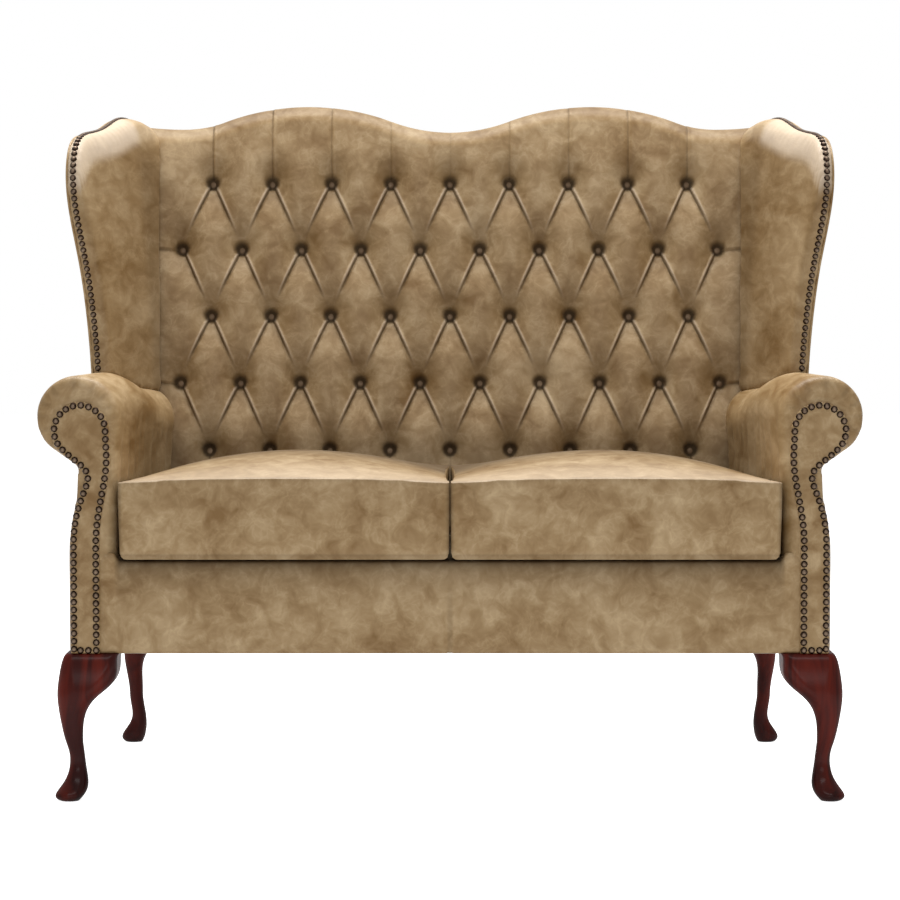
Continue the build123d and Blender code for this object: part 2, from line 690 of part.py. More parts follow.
def cushion_form(inset):
    sections = []
    y0, y1 = CUSHION_FRONT + inset, CUSHION_BACK - inset
    z0 = SEAT_LINE + inset
    for t in (0, 0.25, 0.5, 0.75, 1):
        y = y0 + (y1 - y0) * t
        swell = sin(pi * t)
        x0 = CUSHION_GAP + CUSHION_DRAW * swell + inset
        x1 = cushion_side(y) - CUSHION_DRAW * swell - inset
        z1 = CUSHION_TOP - CUSHION_FALL * t - inset
        crest = CUSHION_TOP + EDGE_CROWN + (CUSHION_CROWN - EDGE_CROWN) * swell - inset
        outline = Wire(
            [
                Line((x0, z0), (x1, z0)),
                Line((x1, z0), (x1, z1)),
                ThreePointArc((x1, z1), ((x0 + x1) / 2, crest), (x0, z1)),
                Line((x0, z1), (x0, z0)),
            ]
        )
        sections.append(front_plane(y) * Face(outline))
    return loft(sections).solid()


zip_place = Pos(cushion_side(CUSHION_BACK) / 2, CUSHION_BACK, (SEAT_LINE + CUSHION_TOP) / 2)
cushion = cushion_form(0) - cushion_form(CUSHION_SKIN)
cushion -= zip_place * Box(ZIP_LENGTH, 4 * CUSHION_SKIN, ZIP_WIDTH)
pair("cushion_cover", cushion)
pair("cushion_core", cushion_form(CUSHION_SKIN + SOFT_GAP))
zip_strip = Pos(0, -CUSHION_SKIN / 2, 0) * Box(
    ZIP_LENGTH - 2 * FIT_GAP, CUSHION_SKIN - 2 * FIT_GAP, ZIP_WIDTH - 2 * FIT_GAP
)
pair("cushion_zip", zip_place * zip_strip)

# Everything is moved so that the origin lies under the middle of the whole sofa.
boxes = [shape.bounding_box() for shape in parts.values()]
y_low = min(box.min.Y for box in boxes)
y_high = max(box.max.Y for box in boxes)
centred = Pos(0, -(y_low + y_high) / 2, 0)
for name, shape in parts.items():
    export_step(centred * shape, "parts/" + name + ".step")
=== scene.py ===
# %% [markdown]
# # A wing-back chesterfield sofa for two
# The sofa comes packed from CAD as a fixed frame: every piece has its true size and place there.
# Blender adds what CAD cannot draw well, which is the leather, its folds and its finish. The frame
# is loaded first, because every later step measures itself from the CAD pieces.

# %% Load the frame
import math

import bmesh
import bpy
from mathutils import Matrix, Vector, kdtree


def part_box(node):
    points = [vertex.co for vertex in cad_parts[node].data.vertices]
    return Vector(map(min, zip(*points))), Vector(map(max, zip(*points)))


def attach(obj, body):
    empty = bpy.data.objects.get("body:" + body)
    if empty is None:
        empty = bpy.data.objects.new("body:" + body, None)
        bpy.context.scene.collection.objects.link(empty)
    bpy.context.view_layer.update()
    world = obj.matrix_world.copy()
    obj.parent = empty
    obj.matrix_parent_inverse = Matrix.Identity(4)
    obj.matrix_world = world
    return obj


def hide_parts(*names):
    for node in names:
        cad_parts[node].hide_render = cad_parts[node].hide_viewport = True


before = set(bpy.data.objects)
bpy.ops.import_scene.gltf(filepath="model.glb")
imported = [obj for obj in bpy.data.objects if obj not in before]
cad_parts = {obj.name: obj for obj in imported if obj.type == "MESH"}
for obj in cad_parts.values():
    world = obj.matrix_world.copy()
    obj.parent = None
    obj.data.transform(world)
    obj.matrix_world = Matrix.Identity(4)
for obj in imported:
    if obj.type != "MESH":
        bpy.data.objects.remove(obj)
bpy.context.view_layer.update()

scene = bpy.context.scene

# %% [markdown]
# ## Camera
# The photograph was taken square on, from about 4.6 m in front of the arms and a little above the
# seat. A long lens on a camera that is tilted down by a few degrees gives the same narrow
# perspective, and needs no lens shift.

# %% Camera
ARM_FRONT_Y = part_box("left_arm_cover")[0].y
CAMERA_DISTANCE = 4.6
CAMERA_HEIGHT = 0.767
CAMERA_TILT = math.radians(2.85)
CAMERA_LENS = 120.7

camera = bpy.data.objects.new("camera", bpy.data.cameras.new("camera"))
camera.data.sensor_width = 36
camera.data.lens = CAMERA_LENS
camera.location = (0, ARM_FRONT_Y - CAMERA_DISTANCE, CAMERA_HEIGHT)
camera.rotation_euler = (math.pi / 2 - CAMERA_TILT, 0, 0)
scene.collection.objects.link(camera)
scene.camera = camera
print("camera at", [round(v, 2) for v in camera.location])

# %% [markdown]
# ## Wiring materials with sums
# A material is a small machine of nodes. Wiring each node by hand hides the idea, so one class
# wraps an output socket and lets Python's own operators make the Math nodes. Every other node
# comes from its one method, which sets the node up and then fills or links its inputs.

# %% Wire class
class Wire:
    """An output socket in a material, on which sums can be written."""

    def __init__(self, tree, socket=None):
        self.tree = tree
        self.socket = socket

    def node(self, kind, settings=None, sockets=None, output=0):
        made = self.tree.nodes.new("ShaderNode" + kind)
        for name, value in (settings or {}).items():
            if name == "stops":
                elements = made.color_ramp.elements
                while len(elements) < len(value):
                    elements.new(1.0)
                for element, (position, colour) in zip(elements, value):
                    element.position = position
                    element.color = (*colour, 1)
            else:
                setattr(made, name, value)
        for name, value in (sockets or {}).items():
            if isinstance(value, Wire):
                self.tree.links.new(value.socket, made.inputs[name])
            else:
                made.inputs[name].default_value = value
        return Wire(self.tree, made.outputs[output])

    def maths(self, operation, first, second):
        return self.node("Math", {"operation": operation}, {0: first, 1: second})

    def __add__(self, other):
        return self.maths("ADD", self, other)

    def __radd__(self, other):
        return self.maths("ADD", other, self)

    def __mul__(self, other):
        return self.maths("MULTIPLY", self, other)

    def __rmul__(self, other):
        return self.maths("MULTIPLY", other, self)


def new_finish(name, constants):
    """A material, its wires and its shader, with the numbers that are the same all over."""
    material = bpy.data.materials.new(name)
    material.use_nodes = True
    shader = material.node_tree.nodes["Principled BSDF"]
    for socket, value in constants.items():
        shader.inputs[socket].default_value = value
    return material, Wire(material.node_tree), shader


def feed(shader, socket, wire):
    wire.tree.links.new(wire.socket, shader.inputs[socket])


def blend_colours(wire, factor, first, second, blend_type="MIX"):
    settings = {"data_type": "RGBA", "blend_type": blend_type}
    return wire.node("Mix", settings, {0: factor, 6: first, 7: second}, output=2)


def srgb(red, green, blue):
    """A colour written as a picture shows it, made linear for the shader."""
    parts = [v / 255 for v in (red, green, blue)]
    return tuple(v / 12.92 if v <= 0.04045 else ((v + 0.055) / 1.055) ** 2.4 for v in parts)


# %% [markdown]
# ## Floor, backdrop and light
# A studio picture on white has one large soft lamp overhead, two weaker ones in front, high and
# low, and white all round. The white that the camera sees is painted with the Light Path node on
# the floor and the world, so that it does not have to come from more light on the leather. Glossy
# rays see it too, so that brass and lacquer mirror the same white room.

# %% Floor and backdrop
FLOOR_SIZE = 30
FLOOR_GLOW, FLOOR_TONE = 0.92, 0.86


def backdrop_rays(wire):
    """1 for the rays that meet the white room: from the camera, off a gloss or through glass."""
    seen, mirrored, through = [
        wire.node("LightPath", output=f"Is {kind} Ray") for kind in ("Camera", "Glossy", "Transmission")
    ]
    return wire.maths("MAXIMUM", wire.maths("MAXIMUM", seen, mirrored), through)


floor_finish, wire, shader = new_finish("studio_floor", {"Roughness": 0.9, "Specular IOR Level": 0.1})
shader.inputs["Base Color"].default_value = (FLOOR_TONE, FLOOR_TONE, FLOOR_TONE, 1)
glow = wire.node("Emission", sockets={"Color": (1, 1, 1, 1), "Strength": FLOOR_GLOW})
lit = Wire(wire.tree, shader.outputs[0])
bright = wire.node("AddShader", sockets={0: lit, 1: glow})
mixed = wire.node("MixShader", sockets={0: backdrop_rays(wire), 1: lit, 2: bright})
wire.tree.links.new(mixed.socket, wire.tree.nodes["Material Output"].inputs["Surface"])

bm = bmesh.new()
bmesh.ops.create_grid(bm, x_segments=1, y_segments=1, size=FLOOR_SIZE / 2)
floor_mesh = bpy.data.meshes.new("studio_floor")
bm.to_mesh(floor_mesh)
bm.free()
floor_mesh.materials.append(floor_finish)
floor = bpy.data.objects.new("studio_floor", floor_mesh)
scene.collection.objects.link(floor)
print("floor:", FLOOR_SIZE, "m wide")

# %% World
WORLD_LIGHT = 0.34
world = bpy.data.worlds.new("studio")
world.use_nodes = True
scene.world = world
background = world.node_tree.nodes["Background"]
background.inputs["Color"].default_value = (1, 1, 1, 1)
feed(background, "Strength", WORLD_LIGHT + (1 - WORLD_LIGHT) * backdrop_rays(Wire(world.node_tree)))
print("world light:", WORLD_LIGHT)


# %% Lamps
def soft_lamp(name, place, target, size, watts):
    data = bpy.data.lights.new(name, "AREA")
    data.shape = "RECTANGLE"
    data.size, data.size_y = size
    data.energy = watts
    lamp = bpy.data.objects.new(name, data)
    lamp.location = place
    lamp.rotation_euler = (Vector(target) - Vector(place)).to_track_quat("-Z", "Y").to_euler()
    scene.collection.objects.link(lamp)


soft_lamp("overhead", (0, 0.35, 3.2), (0, -0.1, 0.6), (3.0, 1.2), 130)
soft_lamp("front_top", (0, -3.4, 3.0), (0, 0, 0.5), (2.6, 0.6), 29)
soft_lamp("front_fill", (0, -5.5, 1.3), (0, 0, 0.6), (3.0, 0.5), 20)
scene.view_settings.view_transform = "Standard"

# %% [markdown]
# ## Antique leather
# The hide is a full-grain aniline leather, wiped by hand, so its tan drifts in wisps and clouds a
# finger to a hand wide, with a net of fine pale veins. It is darker with dye along its seams and
# with painted shade in folds, hollows and corners. It is paler where it is rubbed and under a painted
# sheen on lit tops and ridges. These places are not painted by guesswork: the pieces carry two
# attributes, one for dye and painted shade and one for wear and painted sheen, which the modelling
# steps fill, and the shader reads them. On the wings and the arms the hide is pulled towards the
# back, which draws its pattern out.

# %% Leather
LEATHER_DARK = srgb(122, 92, 52)
LEATHER_MID = srgb(154, 127, 89)
LEATHER_LIGHT = srgb(187, 162, 125)
LEATHER_DYE_AND_PAINTED_SHADE = srgb(44, 31, 17)
LEATHER_WEAR_AND_SHEEN = srgb(218, 201, 180)


def leather(name, dark, mid, light, roughness, drawn=1.0):
    material, wire, shader = new_finish(name, {"Specular IOR Level": 0.27})
    origin = wire.node("TexCoord", output="Object")
    place = wire.node("Mapping", sockets={"Vector": origin, "Scale": (1, drawn, 1)})
    broad = {"Vector": place, "Scale": 10, "Detail": 4, "Roughness": 0.6, "Distortion": 0.5}
    small = {"Vector": place, "Scale": 36, "Detail": 3, "Roughness": 0.55, "Distortion": 0.7}
    cloud = wire.node("TexNoise", sockets=broad)
    wisp = wire.node("TexNoise", sockets=small)
    drift = wire.node("TexNoise", sockets={"Vector": place, "Scale": 26, "Detail": 3}, output="Color")
    bent = wire.node("VectorMath", {"operation": "MULTIPLY_ADD"}, {0: drift, 1: (0.06,) * 3, 2: place})
    cracks = wire.node("TexVoronoi", {"feature": "DISTANCE_TO_EDGE"}, {"Vector": bent, "Scale": 70})
    vein = wire.node("MapRange", {"clamp": True}, {0: cracks, 1: 0.0, 2: 0.18, 3: 1.0, 4: 0.0})
    patch = wire.node("MapRange", {"clamp": True}, {0: wisp, 1: 0.4, 2: 0.6, 3: 0.0, 4: 1.0})
    tone = cloud * 0.6 + wisp * 0.4 + vein * patch * 0.05
    stops = [(0.34, dark), (0.5, mid), (0.7, light)]
    colour = wire.node("ValToRGB", {"stops": stops}, {"Fac": tone})
    # Paler with wear and a painted sheen; darker with dye in seams and with painted shade.
    worn = wire.node("Attribute", {"attribute_name": "worn"}, output="Fac")
    colour = blend_colours(wire, worn, colour, (*LEATHER_WEAR_AND_SHEEN, 1))
    crease = wire.node("Attribute", {"attribute_name": "crease"}, output="Fac")
    dye_and_shade_amount = wire.node("Math", {"operation": "MULTIPLY", "use_clamp": True}, {0: crease, 1: 0.85})
    colour = blend_colours(wire, dye_and_shade_amount, colour, (*LEATHER_DYE_AND_PAINTED_SHADE, 1))
    feed(shader, "Base Color", colour)
    feed(shader, "Roughness", roughness + 0.16 * cloud + 0.4 * dye_and_shade_amount)
    wrinkle = wire.node("TexNoise", sockets={"Vector": place, "Scale": 34, "Detail": 4, "Distortion": 0.6})
    pores = wire.node("TexVoronoi", sockets={"Vector": place, "Scale": 520})
    creased = wire.node("Bump", sockets={"Height": wrinkle, "Strength": 0.22, "Distance": 0.004})
    bump = {"Height": pores, "Strength": 0.08, "Distance": 0.0006, "Normal": creased}
    feed(shader, "Normal", wire.node("Bump", sockets=bump))
    return material


hide = leather("antique_leather", LEATHER_DARK, LEATHER_MID, LEATHER_LIGHT, 0.36)
drawn_hide = leather("drawn_leather", LEATHER_DARK, LEATHER_MID, LEATHER_LIGHT, 0.36, drawn=0.3)
BUTTON_DARK = srgb(112, 88, 62)
BUTTON_LIGHT = srgb(158, 134, 106)
button_hide = leather("button_leather", BUTTON_DARK, BUTTON_DARK, BUTTON_LIGHT, 0.4)
print("leathers:", hide.name, drawn_hide.name, button_hide.name)

# %% [markdown]
# ## Wood, metal and cloth
# The legs are stained so dark that their red only shows in the light, under a thin lacquer, with
# painted shade low down towards the floor. The nail heads are brass that was browned in a bath;
# their tops are paler where rubbed bright and carry a painted glint. What sits inside the
# upholstery is plain: pale beech, wire, and jute-coloured cloth.

# %% Other finishes
def wood(name, dark, light, roughness, coat, rings, foot=0.001):
    """Grain along Z, with a coat of lacquer and painted shade below the height where the foot begins."""
    material, wire, shader = new_finish(name, {"Coat Roughness": 0.2, "Specular IOR Level": 0.0})
    place = wire.node("TexCoord", output="Object")
    run = wire.node("Mapping", sockets={"Vector": place, "Scale": (rings, rings, rings * 0.12)})
    grain = wire.node("TexNoise", sockets={"Vector": run, "Scale": 1.0, "Detail": 6, "Distortion": 1.2})
    colour = wire.node("ValToRGB", {"stops": [(0.35, dark), (0.68, light)]}, {"Fac": grain})
    # Painted shade low down, towards the floor.
    height = wire.node("SeparateXYZ", sockets={"Vector": place}, output="Z")
    shade = wire.node("MapRange", {"clamp": True}, {0: height, 1: 0.0, 2: foot, 3: 0.5, 4: 1.0})
    feed(shader, "Base Color", blend_colours(wire, 1.0, colour, shade, "MULTIPLY"))
    feed(shader, "Roughness", roughness + 0.12 * grain)
    shader.inputs["Coat Weight"].default_value = coat
    feed(shader, "Normal", wire.node("Bump", sockets={"Height": grain, "Strength": 0.08, "Distance": 0.001}))
    return material


def metal(name, dull, bright, roughness):
    material, wire, shader = new_finish(name, {"Metallic": 1.0})
    # Paler on the top of each nail head: rubbed brass with a painted glint.
    wear_and_glint = wire.node("Attribute", {"attribute_name": "rub"}, output="Fac")
    place = wire.node("TexCoord", output="Object")
    tarnish = wire.node("TexNoise", sockets={"Vector": place, "Scale": 160, "Detail": 4})
    stops = [(0.38, dull), (0.9, bright)]
    colour = wire.node("ValToRGB", {"stops": stops}, {"Fac": tarnish * 0.5 + 0.5 * wear_and_glint})
    feed(shader, "Base Color", colour)
    feed(shader, "Roughness", roughness + 0.25 * tarnish)
    return material


def cloth(name, dark, light, threads):
    material, wire, shader = new_finish(name, {"Roughness": 0.9, "Specular IOR Level": 0.2})
    place = wire.node("TexCoord", output="Object")
    thread = {"Vector": place, "Scale": threads, "Distortion": 0.4}
    warp = wire.node("TexWave", {"bands_direction": "X"}, thread)
    weft = wire.node("TexWave", {"bands_direction": "Y"}, thread)
    weave = warp * 0.5 + weft * 0.5
    slub = wire.node("TexNoise", sockets={"Vector": place, "Scale": 60, "Detail": 4})
    tone = weave * 0.45 + slub * 0.55
    feed(shader, "Base Color", wire.node("ValToRGB", {"stops": [(0.3, dark), (0.7, light)]}, {"Fac": tone}))
    feed(shader, "Normal", wire.node("Bump", sockets={"Height": weave, "Strength": 0.3, "Distance": 0.0006}))
    return material


mahogany = wood("mahogany", srgb(54, 11, 6), srgb(108, 32, 18), 0.3, 0.2, 26, foot=0.11)
beech = wood("beech", srgb(186, 146, 104), srgb(214, 178, 136), 0.5, 0.0, 18)
antique_brass = metal("antique_brass", srgb(40, 28, 21), srgb(126, 109, 92), 0.26)
spring_steel = metal("spring_steel", srgb(120, 122, 124), srgb(168, 170, 172), 0.3)
zip_brass = metal("zip_brass", srgb(146, 118, 66), srgb(190, 160, 100), 0.3)
lining = cloth("lining_cloth", srgb(88, 76, 58), srgb(130, 114, 90), 380)
dust_cloth = cloth("dust_cloth", srgb(28, 28, 28), srgb(52, 50, 48), 420)
print("finishes:", len(bpy.data.materials))


# %% [markdown]
# ## From a bmesh to a finished piece
# Each soft piece is built in a bmesh, turned into an object at the origin, and then told which body
# it rides on and which material it takes, and the CAD nodes it stands in for are hidden.

# %% Making pieces
SHARP_EDGE = math.radians(60)


def make_piece(bm, name, material, body, nodes, sharp=SHARP_EDGE):
    bmesh.ops.recalc_face_normals(bm, faces=bm.faces)
    mesh = bpy.data.meshes.new(name)
    bm.to_mesh(mesh)
    bm.free()
    mesh.shade_smooth()
    mesh.set_sharp_from_angle(angle=sharp)
    mesh.materials.append(material)
    piece = bpy.data.objects.new(name, mesh)
    scene.collection.objects.link(piece)
    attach(piece, body)
    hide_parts(*nodes)
    print(name, "has", len(mesh.polygons), "faces")
    return piece


def cad_copy(*nodes):
    """One bmesh of one or more CAD nodes, with their loose triangles merged."""
    bm = bmesh.new()
    for node in nodes:
        bm.from_mesh(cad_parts[node].data)
    bmesh.ops.remove_doubles(bm, verts=bm.verts, dist=2e-5)
    return bm


def remeshed(bm, voxel):
    """The same closed form as an even skin of small faces."""
    mesh = bpy.data.meshes.new("skin")
    bm.to_mesh(mesh)
    holder = bpy.data.objects.new("skin", mesh)
    scene.collection.objects.link(holder)
    remesh = holder.modifiers.new("remesh", "REMESH")
    remesh.mode = "VOXEL"
    remesh.voxel_size = voxel
    skin = bpy.data.meshes.new_from_object(holder.evaluated_get(bpy.context.evaluated_depsgraph_get()))
    bpy.data.objects.remove(holder)
    bm.clear()
    bm.from_mesh(skin)
    bpy.data.meshes.remove(skin)
    return bm


def relax(bm, passes):
    for _ in range(passes):
        bmesh.ops.smooth_vert(
            bm, verts=bm.verts, factor=0.5, use_axis_x=True, use_axis_y=True, use_axis_z=True
        )


def point_layer(bm, name):
    """A number on every point of a bmesh, which a material can read by its name."""
    return bm.verts.layers.float.get(name) or bm.verts.layers.float.new(name)


def islands(node):
    """Where each small solid of a CAD node sits, by its largest face, and which way it points."""
    bm = cad_copy(node)
    bmesh.ops.dissolve_limit(bm, angle_limit=math.radians(2), verts=bm.verts, edges=bm.edges)
    found, seen = [], set()
    for start in bm.verts:
        if start in seen:
            continue
        group, queue = [], [start]
        seen.add(start)
        while queue:
            vert = queue.pop()
            group.append(vert)
            for edge in vert.link_edges:
                other = edge.other_vert(vert)
                if other not in seen:
                    seen.add(other)
                    queue.append(other)
        faces = {face for vert in group for face in vert.link_faces}
        base = max(faces, key=lambda face: face.calc_area())
        found.append((base.calc_center_median(), -base.normal))
    bm.free()
    return found


# %% [markdown]
# ## The deep-buttoned back
# The back is one hide over foam. Buttons pull it down in a diamond pattern, and the spare leather
# between them is folded into pleats that all face down, so that they shed dust. A cloth simulation
# would have to be told where each fold goes, so a formula says it directly: a grid is laid over the
# back so that its diagonals run from button to button, and every point sinks by its distance from
# the nearest pleats and buttons. Over the top roll and below the lowest buttons the pleats run
# straight on, and they are faint in the middle of the top, where little leather is spare.

# %% Measures of the back
RECLINE = math.radians(12.5)
PAD_DEPTH = 0.545
PAD_FRONT = 0.092
FOAM_FRONT = 0.042
FRAME_REAR = -0.028
TOP_ROLL = 0.035
TOP_PAD = 0.026
BUTTON_PITCH = 0.103
ROW_PITCH = 0.1175
LOW_ROW = -0.006
LAST_ROW = 4
WIDE_COLUMN = 4
EDGE_COLUMN = 4.5
COVER_LOW = -0.14

back_up = Vector((0, math.sin(RECLINE), math.cos(RECLINE)))
back_out = Vector((0, -math.cos(RECLINE), math.sin(RECLINE)))
back_origin = Vector((0, ARM_FRONT_Y + PAD_DEPTH + PAD_FRONT / math.cos(RECLINE), 0.5))

HUMP = (0.246, 1.104, 0.413)
DIP_Z = 1.059
SIDE_DIP = (0.464, 1.064)


def arc_height(x, radius):
    return radius - math.sqrt(max(radius * radius - x * x, 0))


def ogee_radius(run, rise, radius):
    """Radius of the hollow that joins a hump of a given radius smoothly."""
    return (run * run + rise * rise) / (2 * rise) - radius


SIDE_ARC = ogee_radius(SIDE_DIP[0] - HUMP[0], HUMP[1] - SIDE_DIP[1], HUMP[2])
CORNER_RISE = 0.35


def top_line(x):
    """Height of the double hump at a distance from the middle, nearly level beside the wings."""
    x = abs(x)
    if x > SIDE_DIP[0]:
        return SIDE_DIP[1] + CORNER_RISE * arc_height(x - SIDE_DIP[0], SIDE_ARC)
    hump_x, hump_z, hump_r = HUMP
    hollow_x, hollow_z = (0, DIP_Z) if x < hump_x else SIDE_DIP
    run, rise = abs(hump_x - hollow_x), hump_z - hollow_z
    hollow_r = ogee_radius(run, rise, hump_r)
    turn = hollow_r / (hollow_r + hump_r) * run
    if abs(x - hollow_x) < turn:
        return hollow_z + arc_height(x - hollow_x, hollow_r)
    return hump_z - arc_height(x - hump_x, hump_r)


def top_v(x):
    drop = TOP_ROLL + (PAD_FRONT - TOP_ROLL) * math.sin(RECLINE)
    return (top_line(x) - drop - back_origin.z) / math.cos(RECLINE) + TOP_ROLL


print("hump and dip:", round(top_v(HUMP[0]), 3), round(top_v(0), 3))

# %% Depth of the tufting
PILLOW = 0.006
FOLD, LIP, SLOPE = 0.0042, 0.0012, 0.005
RIB, RIB_OUT, RIB_WIDTH = 0.0022, 0.0034, 0.0021
FOLD_END, FOLD_FULL = 0.18, 0.62
EDGE_FOLD, TOP_PLEAT, MID_PLEAT, PLEAT_COLUMNS = 0.55, 0.5, 0.15, 3
FOLD_SHADE, FOLD_SHADE_AT, FOLD_SHADE_WIDTH = 0.65, 0.0004, 0.0015
RIB_WEAR_AND_SHEEN, RIB_WEAR_AND_SHEEN_WIDTH = 0.45, 0.0018
BUTTON_CLEAR = 0.0085
HOLE, HOLE_REACH, HOLE_SHADE = 0.011, 0.0112, 0.95
ABOVE_SHADE, ABOVE_WIDTH, ABOVE_HEIGHT = 0.5, 0.0095, 0.012
CONE, CONE_UP, CONE_DOWN, CONE_SIDE = 0.0125, 0.034, 0.05, 0.024
EDGE_PILLOW, FADE_REACH = 0.15, 0.03
BACK_SHADE, BACK_SHADE_FROM, BACK_SHADE_RUN = 0.2, 0.8, 0.8
SEAT_SHADE, SEAT_SHADE_FROM, SEAT_SHADE_RUN = 0.35, 0.7, 0.6
JOINT_SHADE, JOINT_REACH = 0.6, 0.013
SIDE_LOW, SIDE_HIGH = Vector((0.484, 0, 0.40)), Vector((0.53, 0, 1.05))
LINE_STEP = 1 / math.hypot(1 / BUTTON_PITCH, 0.5 / ROW_PITCH)


def bell(d, reach):
    return math.exp(-((d / reach) ** 2))


def ease(t):
    t = min(max(t, 0), 1)
    return t * t * (3 - 2 * t)


def pillow(d):
    t = min(abs(d) / (LINE_STEP / 2), 1)
    return 1 - (1 - t) ** 2


def fold(d):
    """A pleat that opens inwards: a rib along its outer side, then a tight line and a slope."""
    cut = math.exp(-d / LIP) if d > 0 else math.exp(d / SLOPE)
    return FOLD * cut - RIB * bell(d - RIB_OUT, RIB_WIDTH)


def near_buttons(q, r):
    """Steps in metres to the right of and above the buttons round a point, the nearest first."""
    row = min(max(math.floor(r), 0), LAST_ROW)
    steps = []
    for near in range(max(row - 1, 0), min(row + 2, LAST_ROW) + 1):
        half = 0.5 * (near % 2)
        limit = WIDE_COLUMN + half
        left = math.floor(q - half) + half
        for column in (left, left + 1):
            if abs(column) <= limit:
                steps.append(((q - column) * BUTTON_PITCH, (r - near) * ROW_PITCH))
    return sorted(steps, key=lambda step: math.hypot(*step)) or [(9.0, 9.0)]


def cone(across, up):
    return bell(across, CONE_SIDE) * bell(up, CONE_UP if up > 0 else CONE_DOWN)


def tuft(x, v):
    """How far the back's hide sinks at a point, its painted shade, and its wear and painted sheen."""
    q, r = x / BUTTON_PITCH, (v - LOW_ROW) / ROW_PITCH
    cq = min(max(q, -EDGE_COLUMN), EDGE_COLUMN)
    cr = min(max(r, 0), LAST_ROW)
    past = math.hypot((q - cq) * BUTTON_PITCH, (r - cr) * ROW_PITCH)
    rising, falling = cq + cr / 2, cq - cr / 2
    d_rise = (rising - round(rising)) * LINE_STEP
    d_fall = (round(falling) - falling) * LINE_STEP
    lines = (d_rise, d_fall) if cr == r else (d_rise,)
    steps = near_buttons(q, r)
    across, up = steps[0]
    away = math.hypot(across, up)
    pleat = MID_PLEAT + (TOP_PLEAT - MID_PLEAT) * min(abs(q) / PLEAT_COLUMNS, 1)
    shown = ease((cr - math.floor(cr) - FOLD_END) / (FOLD_FULL - FOLD_END)) if cr == r else pleat
    shown *= EDGE_FOLD if cq != q else 1
    shown *= 1 - bell(away, BUTTON_CLEAR)
    hole = math.exp(-((away / HOLE_REACH) ** 4))
    swollen = 1 - 0.5 * (pillow(d_rise) + pillow(d_fall))
    sink = PILLOW * swollen * (EDGE_PILLOW + (1 - EDGE_PILLOW) * bell(past, FADE_REACH))
    sink += shown * sum(fold(d) for d in lines) + HOLE * hole
    sink += CONE * sum(cone(*step) for step in steps)
    # Painted shade in the folds, in and above the button holes, near the seat and over the face.
    dark = FOLD_SHADE * shown * max(bell(d - FOLD_SHADE_AT, FOLD_SHADE_WIDTH) for d in lines)
    above = bell(across, ABOVE_WIDTH) * math.exp(-up / ABOVE_HEIGHT) if up > 0 else 0
    low = ease(SEAT_SHADE_FROM - r / SEAT_SHADE_RUN)
    high = ease(BACK_SHADE_FROM - (r - LAST_ROW) / BACK_SHADE_RUN)
    dark += HOLE_SHADE * hole + ABOVE_SHADE * above + SEAT_SHADE * low + BACK_SHADE * high
    # Rib crests are paler: wear and a painted sheen.
    worn = RIB_WEAR_AND_SHEEN * shown * max(bell(d - RIB_OUT, RIB_WEAR_AND_SHEEN_WIDTH) for d in lines) if cr == r else 0
    return sink, min(dark, 1.0), worn


def beside_wing(point):
    """Painted shade on the back where it runs into the wings."""
    edge = SIDE_LOW.x + (SIDE_HIGH.x - SIDE_LOW.x) * (point.z - SIDE_LOW.z) / (SIDE_HIGH.z - SIDE_LOW.z)
    return JOINT_SHADE * math.exp(-max(edge - abs(point.x), 0) / JOINT_REACH)


print("sunk at a button:", round(tuft(0, LOW_ROW + 2 * ROW_PITCH)[0] * 1000, 1), "mm")

# %% The tufted hide
CELL = 48
COLUMN_STEP = BUTTON_PITCH / 2 / CELL
ROW_STEP = ROW_PITCH / CELL
COLUMNS = 2 * 507
LOW_ROWS, TUFT_ROWS, RISE_ROWS, ROLL_ROWS, TOP_ROWS = 30, LAST_ROW * CELL, 24, 14, 14
ROLL_SHADE, SHADE_TURN, ROLL_SAMPLE = 0.45, 0.55, 0.09
CORNERS = 4
ROWS = LOW_ROWS + TUFT_ROWS + RISE_ROWS + ROLL_ROWS + TOP_ROWS + CORNERS


def back_point(x, v, w):
    return back_origin + Vector((x, 0, 0)) + v * back_up + w * back_out


def hide_point(x, row):
    """A point of the closed hide: up the front, round the roll, over the top and down inside."""
    low_v, high_v, top = LOW_ROW, LOW_ROW + LAST_ROW * ROW_PITCH, top_v(x)
    knee = top - TOP_ROLL
    if row <= LOW_ROWS:
        v = COVER_LOW + (low_v - COVER_LOW) * row / LOW_ROWS
    elif row <= LOW_ROWS + TUFT_ROWS:
        v = low_v + (row - LOW_ROWS) * ROW_STEP
    else:
        v = high_v + (knee - high_v) * min((row - LOW_ROWS - TUFT_ROWS) / RISE_ROWS, 1)
    row -= LOW_ROWS + TUFT_ROWS + RISE_ROWS
    if row <= 0:
        sink, dark, worn = tuft(x, v)
        point = back_point(x, v, PAD_FRONT - sink)
        return point, min(dark + beside_wing(point), 1.0), worn
    sink, dark, worn = tuft(x, high_v + ROLL_SAMPLE)
    # Painted shade over the top roll, where the overhead lamp falls.
    dark = min(dark + ROLL_SHADE * ease(row / ROLL_ROWS / SHADE_TURN), 1.0)
    if row <= ROLL_ROWS:
        angle = math.pi / 2 * row / ROLL_ROWS
        reach = TOP_ROLL - sink * math.cos(angle)
        w = PAD_FRONT - TOP_ROLL + reach * math.cos(angle)
        return back_point(x, knee + reach * math.sin(angle), w), dark, worn
    row -= ROLL_ROWS
    if row <= TOP_ROWS:
        t = row / TOP_ROWS
        w = (PAD_FRONT - TOP_ROLL) * (1 - t) + FRAME_REAR * t
        return back_point(x, top, w), dark, 0.0
    inner = [
        (FRAME_REAR, top - TOP_PAD),
        (FOAM_FRONT, top - TOP_PAD),
        (FOAM_FRONT, (top + COVER_LOW) / 2),
        (FOAM_FRONT, COVER_LOW),
    ]
    w, v = inner[row - TOP_ROWS - 1]
    return back_point(x, v, w), 0.0, 0.0


